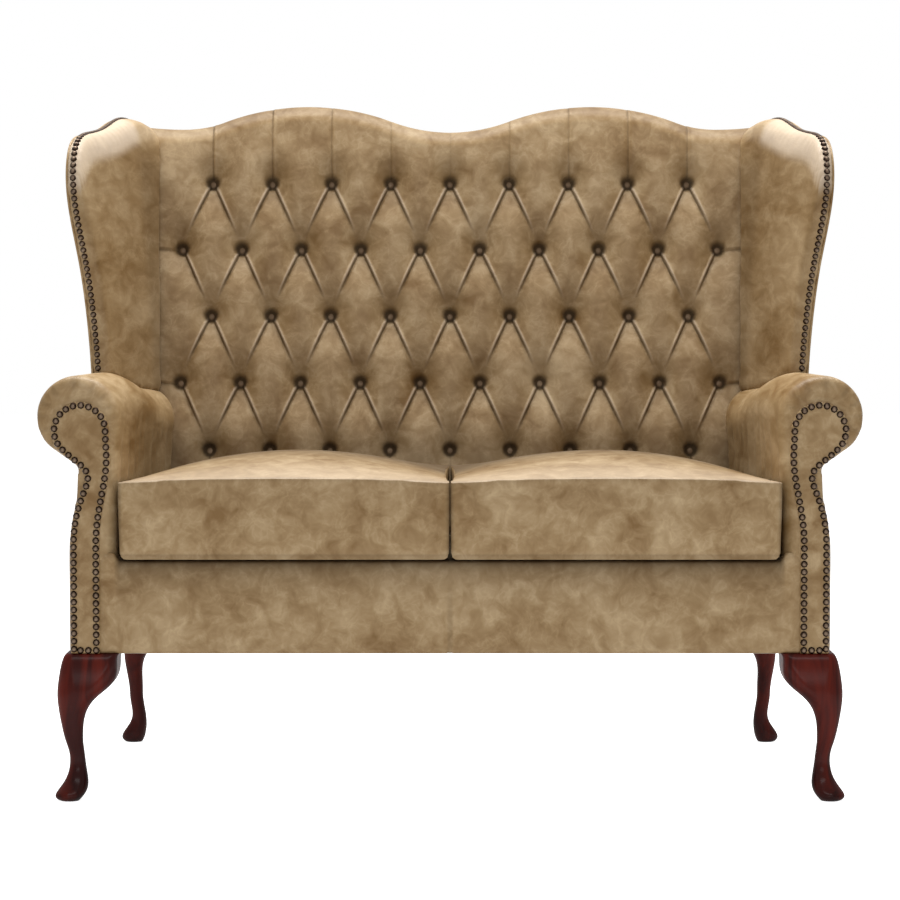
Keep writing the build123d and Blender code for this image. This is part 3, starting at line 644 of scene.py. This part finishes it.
bm = bmesh.new()
bmesh.ops.create_grid(bm, x_segments=COLUMNS, y_segments=ROWS, size=1)
crease, worn = point_layer(bm, "crease"), point_layer(bm, "worn")
for vert in bm.verts:
    column = round((vert.co.x + 1) / 2 * COLUMNS) - COLUMNS // 2
    row = round((vert.co.y + 1) / 2 * ROWS)
    vert.co, vert[crease], vert[worn] = hide_point(column * COLUMN_STEP, row)
print("tufted grid:", len(bm.verts), "points")

# %% Closing and trimming the hide
rim = [edge for edge in bm.edges if edge.is_boundary]
ends = COLUMNS / 2 * COLUMN_STEP - 1e-4
long_sides = [edge for edge in rim if min(abs(v.co.x) for v in edge.verts) < ends]
bmesh.ops.bridge_loops(bm, edges=long_sides)
for side in (-1, 1):
    low, high = Vector((side * SIDE_LOW.x, 0, SIDE_LOW.z)), Vector((side * SIDE_HIGH.x, 0, SIDE_HIGH.z))
    normal = (high - low).cross(Vector((0, side, 0))).normalized()
    if normal.x * side < 0:
        normal.negate()
    everything = [*bm.verts, *bm.edges, *bm.faces]
    bmesh.ops.bisect_plane(bm, geom=everything, plane_co=low, plane_no=normal, clear_outer=True)
bmesh.ops.holes_fill(bm, edges=[edge for edge in bm.edges if edge.is_boundary], sides=0)
tufted_back = make_piece(
    bm, "tufted_back", hide, "sofa", ["inside_back_cover", "inside_back_foam"], math.radians(80)
)

# %% [markdown]
# ## Buttons
# Each button is a shallow dome under its own scrap of hide. The CAD node holds every button as a
# small solid, so its base face says where the button sits and which way it faces. Painted shade
# darkens each button towards its rim, where it sits down in the hide.

# %% Buttons
BUTTON_RADIUS = 0.0096
BUTTON_RISE = 0.0062
BUTTON_PROUD = 0.005
DOME_TOP_EDGE, DOME_TOP_FADE, RIM_SHADE = 0.74, 0.42, 0.9


def domes(places, radius, rise, round_steps, height_steps, sunk=0.0):
    """Low domes at places with their axes, their tops marked, and painted shade towards the rim."""
    bm = bmesh.new()
    rub, crease = point_layer(bm, "rub"), point_layer(bm, "crease")
    for centre, axis in places:
        turn = axis.to_track_quat("Z", "Y").to_matrix().to_4x4()
        size = Matrix.Diagonal((radius, radius, rise, 1))
        place = Matrix.Translation(centre - axis * sunk) @ turn @ size
        made = bmesh.ops.create_uvsphere(
            bm, u_segments=round_steps, v_segments=height_steps, radius=1, matrix=place
        )
        for vert in made["verts"]:
            off = vert.co - place.translation
            out = (off - axis * off.dot(axis)).length / radius
            # The top is marked for wear and a painted glint; the rim gets painted shade.
            vert[rub] = ease((DOME_TOP_EDGE - out) / DOME_TOP_FADE)
            vert[crease] = RIM_SHADE - RIM_SHADE * vert[rub]
    return bm


bm = domes(islands("back_buttons"), BUTTON_RADIUS, BUTTON_RISE, 16, 10, sunk=-BUTTON_PROUD)
make_piece(bm, "back_button_domes", button_hide, "sofa", ["back_buttons"])

# %% [markdown]
# ## Brass nails
# The nails are domed heads, set almost touching along the arm facings and the wings. There are
# hundreds, so each has only a few dozen faces. The rows on the wings run on down to the arms.

# %% Nails
NAIL_RADIUS = 0.0056
NAIL_RISE = 0.0042
LOW_NAILS = 2


def run_on(places, count):
    """The same row with a few more nails at its lower end, in step with the last two."""
    (low, axis), (above, _) = sorted(places, key=lambda place: place[0].z)[:2]
    return places + [(low + (low - above) * step, axis) for step in range(1, count + 1)]


for side in ("left", "right"):
    rows = {
        f"{side}_arm_nails": islands(f"{side}_arm_nails"),
        f"{side}_wing_nails": run_on(islands(f"{side}_wing_nails"), LOW_NAILS),
    }
    for node, places in rows.items():
        bm = domes(places, NAIL_RADIUS, NAIL_RISE, 8, 6)
        make_piece(bm, f"{node}_domed", antique_brass, "sofa", [node])

# %% [markdown]
# ## Wings
# A wing is a board padded on its inside, with nails along its rim. The CAD form already has the
# outline and the cuts where the wing meets the arm and the back, so the quickest true way is to
# join the cover with its board, lay an even skin over both and relax it, which rounds every edge as
# wadding under leather does. The padding also rolls over the top: points near the top edge are
# lowered, the more the further in they lie. Where arm and wing meet at the back, the padding of
# the arm is pressed down, so both skins settle there by the same rule.

# %% Wing directions and settling
WING_FLARE, WING_LEAN = math.radians(9.5), math.radians(4)
WING_ORIGIN = Vector((0.526, ARM_FRONT_Y + 0.690, 0.650))
wing_ahead = Vector((math.sin(WING_FLARE), -math.cos(WING_FLARE), 0))
wing_up = Vector(
    (
        math.sin(WING_LEAN) * math.cos(WING_FLARE),
        math.sin(WING_LEAN) * math.sin(WING_FLARE),
        math.cos(WING_LEAN),
    )
)
wing_in = wing_ahead.cross(wing_up)
ROLL_X, PLAN_TAPER = 0.569, 0.061
ARM_FALL, FALL_FROM, FALL_RUN = 0.03, 0.2, 0.3
FALL_LOW, FALL_LOW_RUN = 0.52, 0.08
FALL_HIGH, FALL_HIGH_RUN = 0.78, 0.12
SHOULDER, SHOULDER_RUN = 0.03, 0.05
REAR_LAP = 0.0005


def sign_of(side):
    return -1 if side == "left" else 1


def settle(bm):
    """Lowers the inner shoulder of the arm's roll, and what stands on it, towards the back."""
    for vert in bm.verts:
        back = vert.co.y - ARM_FRONT_Y
        inside = ease((ROLL_X - PLAN_TAPER * back + SHOULDER - abs(vert.co.x)) / SHOULDER_RUN)
        high = ease((vert.co.z - FALL_LOW) / FALL_LOW_RUN) * ease((FALL_HIGH - vert.co.z) / FALL_HIGH_RUN)
        vert.co.z -= ARM_FALL * ease((back - FALL_FROM) / FALL_RUN) * inside * high


def stop_at_back(bm):
    """Keeps the rear end of a piece in front of the outside back."""
    for vert in bm.verts:
        behind = FRAME_REAR - REAR_LAP - (vert.co - back_origin).dot(back_out)
        if behind > 0:
            vert.co += back_out * behind


def inflate(bm, amount):
    bm.normal_update()
    for vert in bm.verts:
        vert.co += vert.normal * amount


# %% Wings
WING_VOXEL, WING_SKIN = 0.0042, 0.0015
STRIPE = 0.006
TOP_SOFT, TOP_SOFT_FADE = 0.026, 0.1
ROLL_START = 0.016
RIM_LAP, LAP_REACH = 0.0035, 0.012
PAD_AT_FRONT, PAD_SLOPE, WIDE_PLACE = 0.028, 0.062, 0.430
MEET_PLACE, WING_SHADE, TOP_CLEAR = 0.115, 0.22, 0.8
MEET_BASE, MEET_WIDE, MEET_NARROW = 0.4, 0.25, 0.06
WING_WEAR_AND_SHEEN, SHEEN_OVER, SHEEN_BAND, SHEEN_RUN = 0.55, 1.2, 0.03, 0.04


def roll_top(bm, side):
    """Rolls the padding over the top, which gets wear and painted sheen; the face gets painted shade."""
    sign = sign_of(side)
    crease, worn = point_layer(bm, "crease"), point_layer(bm, "worn")
    places = []
    tops = {}
    for vert in bm.verts:
        off = Vector((vert.co.x * sign, vert.co.y, vert.co.z)) - WING_ORIGIN
        ahead, up = off.dot(wing_ahead), off.dot(wing_up)
        stripe = round(ahead / STRIPE)
        tops[stripe] = max(tops.get(stripe, up), up)
        places.append((vert, ahead, up, off.dot(wing_in), stripe))
    for vert, ahead, up, depth, stripe in places:
        pad = PAD_AT_FRONT + (WIDE_PLACE - ahead) * PAD_SLOPE
        share = min(max((depth - ROLL_START) / (pad - ROLL_START), 0), 1)
        below, clear = tops[stripe] - up, ahead - MEET_PLACE
        near = ease(1 - below / TOP_SOFT_FADE)
        # Wear and painted sheen along the top; painted shade over the face, deepest by the back.
        vert[worn] = WING_WEAR_AND_SHEEN * ease(SHEEN_OVER - below / SHEEN_BAND) * ease(clear / SHEEN_RUN)
        meeting = MEET_BASE + (1 - MEET_BASE) * ease(1 - clear / MEET_WIDE) + ease(1 - clear / MEET_NARROW)
        vert[crease] = WING_SHADE * meeting * (1 - TOP_CLEAR * near)
        shift = wing_up * TOP_SOFT * (1 - math.sqrt(1 - share * share)) * near
        vert.co -= Vector((shift.x * sign, shift.y, shift.z))


def lap_outside(bm, side):
    """Draws the outer edge of the skin over the rim of the outside panel."""
    sign = sign_of(side)
    for vert in bm.verts:
        depth = (Vector((vert.co.x * sign, vert.co.y, vert.co.z)) - WING_ORIGIN).dot(wing_in)
        shift = wing_in * RIM_LAP * ease(1 - depth / LAP_REACH)
        vert.co -= Vector((shift.x * sign, shift.y, shift.z))


for side in ("left", "right"):
    bm = remeshed(cad_copy(f"{side}_wing_cover", f"{side}_wing_board"), WING_VOXEL)
    relax(bm, 3)
    inflate(bm, WING_SKIN)
    lap_outside(bm, side)
    roll_top(bm, side)
    settle(bm)
    relax(bm, 5)
    stop_at_back(bm)
    wing = make_piece(bm, f"{side}_wing_pad", drawn_hide, "sofa", [f"{side}_wing_cover"])

# %% [markdown]
# ## Arms
# The arm is a roll of padding over a rail, with the hide drawn forward over its end and gathered
# in small pleats round the scroll. The skin is made as on the wings, then the gathers are pressed
# into its front by the angle round the scroll's centre.

# %% Arm skin
ARM_VOXEL, ARM_SKIN = 0.0042, 0.0026
SCROLL_Z, SCROLL_RADIUS = 0.5885, 0.0605
ARM_LOW = (0.520, 0.226)
FRONT_ROUND_IN, FRONT_ROUND_OUT, ROUND_LOW, ROUND_TURN = 0.025, 0.010, 0.36, 1.4


def arm_inner_x(z):
    """Where the inner face of the arm stands at its front, up to the middle of the scroll."""
    slope = (ARM_LOW[0] - ROLL_X + SCROLL_RADIUS) / (SCROLL_Z - ARM_LOW[1])
    return ARM_LOW[0] - slope * (min(z, SCROLL_Z) - ARM_LOW[1])


def round_front(bm, side):
    """Turns the arm's front edge on an arc, wider on the inside than over the scroll."""
    for vert in bm.verts:
        back = vert.co.y - ARM_FRONT_Y
        if back > FRONT_ROUND_IN or vert.co.z < ROUND_LOW:
            continue
        x = vert.co.x * sign_of(side) + PLAN_TAPER * back
        rise = max(vert.co.z - SCROLL_Z, 0)
        if x > ROLL_X and rise == 0:
            continue
        if rise > 0:
            under = SCROLL_RADIUS - math.hypot(x - ROLL_X, rise)
            out = Vector((x - ROLL_X, 0, rise)).normalized()
        else:
            under, out = x - arm_inner_x(vert.co.z), Vector((-1, 0, 0))
        turn = ease((out.x + 1) / ROUND_TURN)
        radius = FRONT_ROUND_IN + (FRONT_ROUND_OUT - FRONT_ROUND_IN) * turn
        off = Vector((radius - max(under, 0), radius - max(back, 0)))
        if min(off) > 0 and off.length > radius:
            landed = off * (radius / off.length)
            shift = out * (landed.x - off.x)
            vert.co += Vector((shift.x * sign_of(side), off.y - landed.y, shift.z))


# %% Folds on the arms
RIPPLE, RIPPLE_LENGTH = 0.0016, 0.055
RIPPLE_LOW, RIPPLE_LOW_RUN = 0.37, 0.04
RIPPLE_HIGH, RIPPLE_HIGH_RUN = 0.6, 0.08
RIPPLE_FROM, RIPPLE_FROM_RUN = 0.02, 0.03
STRAY, STRAY_TURN, INNER_REACH = 1.2, 31, 0.012
ARM_SHADE, SHADE_TOP, SHADE_TOP_RUN, SHADE_RUN = 0.36, 0.61, 0.09, 0.5
GATHERS, GATHER_DEPTH, GATHER_SHADE, GATHER_SHARP = 13, 0.0014, 0.25, 6
GATHER_REACH, GATHER_INNER, GATHER_LAST = 0.012, 0.036, -1.2
GATHER_STRAY, GATHER_TURN = 1.7, 2.3


def ripple_inside(bm, side):
    """Soft upright folds in the hide on the inside of the arm, with painted shade below its top."""
    crease = point_layer(bm, "crease")
    for vert in bm.verts:
        back = vert.co.y - ARM_FRONT_Y
        low = ease((vert.co.z - RIPPLE_LOW) / RIPPLE_LOW_RUN)
        low *= ease((RIPPLE_HIGH - vert.co.z) / RIPPLE_HIGH_RUN)
        inside = ease(1 - (abs(vert.co.x) + PLAN_TAPER * back - arm_inner_x(vert.co.z)) / INNER_REACH)
        wave = math.sin(2 * math.pi * back / RIPPLE_LENGTH + STRAY * math.sin(back * STRAY_TURN))
        fade = ease((back - RIPPLE_FROM) / RIPPLE_FROM_RUN)
        vert.co.x += sign_of(side) * RIPPLE * (1 + wave) * low * inside * fade
        # Painted shade on the inner face, below its top and deeper towards the back.
        shaded = ease((SHADE_TOP - vert.co.z) / SHADE_TOP_RUN) * ease(back / SHADE_RUN)
        vert[crease] = ARM_SHADE * inside * shaded


def gather_front(bm, side):
    """Small pleats in the arm's front edge, round the scroll, with painted shade in each."""
    crease = point_layer(bm, "crease")
    for vert in bm.verts:
        back = vert.co.y - ARM_FRONT_Y
        if back > GATHER_REACH:
            continue
        x, z = vert.co.x * sign_of(side) - ROLL_X, vert.co.z - SCROLL_Z
        out = math.hypot(x, z)
        angle = math.atan2(z, x)
        if out < GATHER_INNER or angle < GATHER_LAST and x < 0:
            continue
        wave = 0.5 + 0.5 * math.cos(angle * GATHERS + GATHER_STRAY * math.sin(angle * GATHER_TURN))
        sharp = wave ** GATHER_SHARP
        fade = ease(1 - back / GATHER_REACH) * min((out - GATHER_INNER) / GATHER_REACH, 1)
        vert.co.y += GATHER_DEPTH * sharp * fade
        # Painted shade in each pleat.
        vert[crease] += GATHER_SHADE * sharp * fade


# %% Arms
for side in ("left", "right"):
    names = [f"{side}_{part}" for part in ("arm_cover", "arm_pad", "arm_front_post")]
    bm = remeshed(cad_copy(*names), ARM_VOXEL)
    relax(bm, 4)
    round_front(bm, side)
    ripple_inside(bm, side)
    relax(bm, 2)
    inflate(bm, ARM_SKIN)
    settle(bm)
    gather_front(bm, side)
    stop_at_back(bm)
    arm = make_piece(bm, f"{side}_arm_roll", drawn_hide, "sofa", names[:2])

# %% [markdown]
# ## Arm facings
# The facing is a thin board under leather that closes the arm's front. Its outline is the CAD
# one; a fine skin and a few passes of relaxing turn its edge as a wrapped board's is.

# %% Facings
FACING_VOXEL = 0.0019
for side in ("left", "right"):
    bm = remeshed(cad_copy(f"{side}_arm_facing"), FACING_VOXEL)
    relax(bm, 4)
    make_piece(bm, f"{side}_arm_facing_wrapped", hide, "sofa", [f"{side}_arm_facing"])

# %% [markdown]
# ## Border
# The band under the cushions is leather over a wadded rail, joined in the middle by one upright
# seam. The seam is a groove pressed into the skin, with dye gathered in it. The hide gets a painted
# shadow under the cushions, and its ends are drawn up a little where they run in beside the arms.

# %% Border
BORDER_VOXEL, BORDER_SKIN = 0.004, 0.0016
SEAM_WIDTH, SEAM_DEPTH, SEAM_DYE = 0.0022, 0.0022, 0.5
BORDER_SHADE, SHADE_REACH = 0.95, 0.025
END_RISE, END_START, END_RUN, END_DEPTH = 0.014, 0.506, 0.010, 0.016

bm = remeshed(cad_copy("front_border"), BORDER_VOXEL)
relax(bm, 4)
inflate(bm, BORDER_SKIN)
bm.normal_update()
crease = point_layer(bm, "crease")
border_top = max(vert.co.z for vert in bm.verts)
for vert in bm.verts:
    seam = bell(vert.co.x, SEAM_WIDTH)
    below = border_top - vert.co.z
    at_end = ease((abs(vert.co.x) - END_START) / END_RUN)
    vert.co -= vert.normal * SEAM_DEPTH * seam
    # Dye in the seam, and painted shadow under the cushions, which stops at the ends.
    vert[crease] = max(SEAM_DYE * seam, BORDER_SHADE * math.exp(-below / SHADE_REACH) * (1 - at_end))
    vert.co.z += END_RISE * at_end * ease(1 - below / END_DEPTH)
make_piece(bm, "front_border_leather", hide, "sofa", ["front_border"])

# %% [markdown]
# ## Seat cushions
# A boxed cushion has a top and a bottom panel and a band round its sides, sewn along two edges.
# The filling swells the panels between the seams, which hold their line. That is what a cloth
# simulation with inner pressure does when the seams are pinned, so the CAD cushion gets an even
# skin, is pulled in a little, and is blown up for twenty frames. The arm and the twin cushion hem
# its sides in, so the skin is then fitted between them, with rounded lower corners and a crown that
# stays full to the rear. The top gets wear and a painted sheen at its front and painted shade
# towards the back, and the sides and the low strip below the welt get painted shade too.

# %% Seat cushions
CUSHION_VOXEL = 0.0055
CUSHION_PRESSURE = 7.0
CUSHION_CAP = 0.022
SIM_FRAMES = 20
SHRINK = 0.003
SEAM_NORMAL_LOW, SEAM_NORMAL_HIGH = 0.3, 0.93


def pinned_edges(bm):
    """Points on the cushion's sewn edges, where the skin turns from a panel to the band."""
    return [vert for vert in bm.verts if SEAM_NORMAL_LOW < abs(vert.normal.z) < SEAM_NORMAL_HIGH]


def swell(bm, pins, name):
    """The skin after Blender's cloth has blown it up, with its seams held and its sides hemmed in."""
    start = [vert.co.copy() for vert in bm.verts]
    pin_ids = [vert.index for vert in pins]
    mesh = bpy.data.meshes.new(name)
    bm.to_mesh(mesh)
    holder = bpy.data.objects.new(name, mesh)
    scene.collection.objects.link(holder)
    held = holder.vertex_groups.new(name="seams")
    held.add(pin_ids, 1.0, "REPLACE")
    modifier = holder.modifiers.new("cloth", "CLOTH")
    modifier.settings.quality = 5
    modifier.settings.use_pressure = True
    modifier.settings.uniform_pressure_force = CUSHION_PRESSURE
    modifier.settings.vertex_group_mass = "seams"
    modifier.settings.effector_weights.gravity = 0
    modifier.point_cache.frame_start = 1
    modifier.point_cache.frame_end = SIM_FRAMES
    for step in range(1, SIM_FRAMES + 1):
        scene.frame_set(step)
    moved = holder.evaluated_get(bpy.context.evaluated_depsgraph_get()).to_mesh()
    places = [vert.co.copy() for vert in moved.vertices]
    bpy.data.objects.remove(holder)
    scene.frame_set(1)
    print(name, "swells by up to", round(max((b - a).length for a, b in zip(start, places)) * 1000), "mm")
    for vert, before, after in zip(bm.verts, start, places):
        shift = after - before
        shift.x *= 1 - abs(vert.normal.x)
        if shift.length > CUSHION_CAP:
            shift *= CUSHION_CAP / shift.length
        vert.co = before + shift


# %% Fitting the cushions
ARM_GAP, TWIN_GAP, DECK_GAP = 0.0012, 0.0005, 0.0005
CORNER_RADIUS, CORNER_HEIGHT = 0.010, 0.03
SIDE_TUCK, TUCK_HEIGHT, TWIN_TUCK = 0.0025, 0.10, 0.3
EDGE_LIFT, TWIN_LIFT, CROWN_LIFT, CROWN_HEIGHT = 0.023, 0.010, 0.003, 0.08
EDGE_FILL, FILL_FROM, FILL_RUN = 0.6, 0.07, 0.03


def seat_width(y):
    """Where a cushion ends at the arm, at a depth behind the arm fronts."""
    return ROLL_X - SCROLL_RADIUS - ARM_GAP - PLAN_TAPER * max(y - ARM_FRONT_Y, 0)


def fit_cushion(bm, side, low, high):
    """Fills the seat between the arm and the twin cushion, and rounds the lower corners.

    The crown is also made fuller: its side edges are lifted towards the rear."""
    sign = sign_of(side)
    near = min(vert.co.x * sign for vert in bm.verts)
    far = max(vert.co.x * sign + seat_width(ARM_FRONT_Y) - seat_width(vert.co.y) for vert in bm.verts)
    for vert in bm.verts:
        taper = seat_width(ARM_FRONT_Y) - seat_width(vert.co.y)
        share = min(max((vert.co.x * sign - near) / (far - near - taper), 0), 1)
        up = vert.co.z - low.z
        tuck = SIDE_TUCK * ease(1 - up / TUCK_HEIGHT)
        widest, narrowest = seat_width(vert.co.y) - tuck, TWIN_GAP + TWIN_TUCK * tuck
        x = narrowest + (widest - narrowest) * share
        corner = min(max(1 - min(x - narrowest, widest - x) / CORNER_RADIUS, 0), 1)
        back = (vert.co.y - low.y) / (high.y - low.y)
        filled = ease(1 - up / CORNER_HEIGHT) + EDGE_FILL * back * ease((up - FILL_FROM) / FILL_RUN)
        lift = CORNER_RADIUS * (1 - math.sqrt(1 - corner * corner)) * filled
        aside = (2 * share - 1) ** 2
        edge = EDGE_LIFT + TWIN_LIFT * (1 - share)
        crown = edge * back * aside + CROWN_LIFT * math.sin(math.pi * back) * (1 - aside)
        vert.co.x = x * sign
        vert.co.z = max(vert.co.z, low.z + DECK_GAP) + lift + crown * ease(up / CROWN_HEIGHT)


# %% Making the cushions
WELT_Z, WELT_DEPTH, WELT_WIDTH, WELT_DARK = 0.0095, 0.0016, 0.0026, 0.4
EDGE_DARK, EDGE_REACH = 0.2, 0.004
LOW_SHADE, LOW_RUN = 0.25, 0.006
PANEL_FROM, PANEL_RUN = 0.5, 0.3
TOP_WEAR_AND_SHEEN, SHEEN_DEPTH = 0.34, 0.35
TOP_SHADE, TOP_SHADE_FROM, TOP_SHADE_RUN = 0.88, 0.06, 0.6
SIDE_SHADE, SIDE_REACH = 0.6, 0.008


def cushion(side):
    nodes = [f"{side}_cushion_cover", f"{side}_cushion_core"]
    low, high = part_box(nodes[0])
    bm = remeshed(cad_copy(*nodes), CUSHION_VOXEL)
    relax(bm, 2)
    bm.normal_update()
    bm.verts.index_update()
    seams = pinned_edges(bm)
    for vert in bm.verts:
        vert.co -= vert.normal * SHRINK
    swell(bm, seams, f"{side}_cushion_cloth")
    fit_cushion(bm, side, low, high)
    tree = kdtree.KDTree(len(seams))
    for i, vert in enumerate(seams):
        tree.insert(vert.co, i)
    tree.balance()
    bmesh.ops.subdivide_edges(bm, edges=bm.edges, cuts=1, use_grid_fill=True)
    bm.normal_update()
    crease, worn = point_layer(bm, "crease"), point_layer(bm, "worn")
    for vert in bm.verts:
        side_on = 1 - abs(vert.normal.z)
        welt = bell(vert.co.z - low.z - WELT_Z, WELT_WIDTH) * side_on
        lowest = ease((low.z + WELT_Z - vert.co.z) / LOW_RUN)
        back = (vert.co.y - low.y) / (high.y - low.y)
        on_top = ease((vert.normal.z - PANEL_FROM) / PANEL_RUN)
        vert.co -= vert.normal * WELT_DEPTH * welt
        beside = min(abs(vert.co.x), seat_width(vert.co.y) - abs(vert.co.x))
        # Wear and painted sheen towards the front of the top.
        vert[worn] = TOP_WEAR_AND_SHEEN * on_top * ease(1 - back / SHEEN_DEPTH)
        # Darker along seams and welt; painted shade low down, towards the top's rear and on the sides.
        vert[crease] = max(
            EDGE_DARK * bell(tree.find(vert.co)[2], EDGE_REACH),
            WELT_DARK * welt,
            LOW_SHADE * lowest,
            TOP_SHADE * on_top * ease((back - TOP_SHADE_FROM) / TOP_SHADE_RUN),
            SIDE_SHADE * (1 - on_top) * ease(1 - beside / SIDE_REACH),
        )
    piece = make_piece(bm, f"{side}_cushion", hide, f"{side}_cushion", nodes)


for side in ("left", "right"):
    cushion(side)

# %% [markdown]
# ## Outside panels
# The outside of the arms, the wings and the back is flat leather with turned edges. The CAD sheets
# have the right outline, so a merged copy of each only needs its rim bevelled. The upper corners of
# the outside back come down with the hide, so that the wings close the line of the top.

# %% Outside panels
TURNED_EDGE = 0.0012
CORNER_Z = 1.03


def turned_sheet(node, name, material=hide, shape=None):
    bm = cad_copy(node)
    if shape:
        shape(bm)
    bmesh.ops.dissolve_limit(bm, angle_limit=math.radians(1), verts=bm.verts, edges=bm.edges)
    rim = [edge for edge in bm.edges if edge.is_manifold and edge.calc_face_angle() > math.radians(40)]
    bmesh.ops.bevel(
        bm, geom=rim, offset=TURNED_EDGE, affect="EDGES", segments=2, profile=0.5, material=-1,
        clamp_overlap=True,
    )
    make_piece(bm, name, material, "sofa", [node], math.radians(35))


def level_corners(bm):
    """Takes the upper corners of the outside back down to the wings."""
    for vert in bm.verts:
        if abs(vert.co.x) > SIDE_DIP[0] and vert.co.z > CORNER_Z:
            vert.co -= back_up * (1 - CORNER_RISE) * arc_height(abs(vert.co.x) - SIDE_DIP[0], SIDE_ARC)


for side in ("left", "right"):
    turned_sheet(f"{side}_outside_arm_panel", f"{side}_outside_arm_leather")
    turned_sheet(f"{side}_outside_wing_panel", f"{side}_outside_wing_leather")
turned_sheet("outside_back_panel", "outside_back_leather", shape=level_corners)

# %% [markdown]
# ## Seat platform, webbing and dust cover
# Under the cushions lies a thin quilted platform of lining cloth over the springs. The back hangs on
# strips of webbing, and a black cloth closes the underside. The platform is padded, so it gets a
# relaxed skin. The dust cover is a sheet tacked along the rails: a grid laid over its four corners,
# with room cut for the legs and a little sag in the middle.

# %% Platform and webbing
PLATFORM_VOXEL = 0.006
bm = remeshed(cad_copy("seat_deck"), PLATFORM_VOXEL)
relax(bm, 3)
platform = make_piece(bm, "seat_platform", lining, "sofa", ["seat_deck"])
turned_sheet("back_webbing", "back_webbing_straps", lining)

# %% Dust cover
DUST_COLUMNS, DUST_ROWS = 60, 32
DUST_SAG, DUST_BELOW, LEG_ROOM = 0.005, 0.0008, 0.004
dust_low, dust_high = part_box("dust_cover")
dust_taper = PLAN_TAPER * (dust_high.y - dust_low.y)
bm = bmesh.new()
bmesh.ops.create_grid(bm, x_segments=DUST_COLUMNS, y_segments=DUST_ROWS, size=1)
for vert in bm.verts:
    u, v = vert.co.x, (vert.co.y + 1) / 2
    half = dust_high.x - dust_taper * v
    sag = DUST_SAG * (1 - u ** 4) * (1 - (2 * v - 1) ** 4)
    vert.co = (u * half, dust_low.y + (dust_high.y - dust_low.y) * v, dust_high.z - DUST_BELOW - sag)
legs_at = [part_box(name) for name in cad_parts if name.endswith("leg")]
covered = [
    face for face in bm.faces
    if any(
        low.x - LEG_ROOM < face.calc_center_median().x < high.x + LEG_ROOM
        and low.y - LEG_ROOM < face.calc_center_median().y < high.y + LEG_ROOM
        for low, high in legs_at
    )
]
bmesh.ops.delete(bm, geom=covered, context="FACES")
dust_area = sum(face.calc_area() for face in bm.faces)
dust = make_piece(bm, "dust_cover_cloth", dust_cloth, "sofa", ["dust_cover"])

# %% [markdown]
# ## Legs
# The cabriole legs come from CAD as they are carved. Their copy is merged into one skin, so that
# the light runs smoothly over the knee and the toe.

# %% Legs
for side in ("left", "right"):
    for end in ("front", "rear"):
        node = f"{side}_{end}_leg"
        make_piece(cad_copy(node), f"{node}_carved", mahogany, "sofa", [node], math.radians(40))

# %% [markdown]
# ## The pieces that stay as CAD
# Rails, boards, springs and bolts are rigid, and their CAD shape is right. They keep it and only
# get a finish with grain or tarnish.

# %% Finishes on the CAD nodes
FINISH_OF = {
    "rail": beech,
    "post": beech,
    "board": beech,
    "stile": beech,
    "blocks": beech,
    "springs": spring_steel,
    "clips": spring_steel,
    "bolts": spring_steel,
    "nuts": spring_steel,
    "zip": zip_brass,
}
for name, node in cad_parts.items():
    for word, material in FINISH_OF.items():
        if name.endswith(word):
            node.data.materials.clear()
            node.data.materials.append(material)
print("CAD nodes with a finish:", sum(name.endswith(tuple(FINISH_OF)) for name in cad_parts))
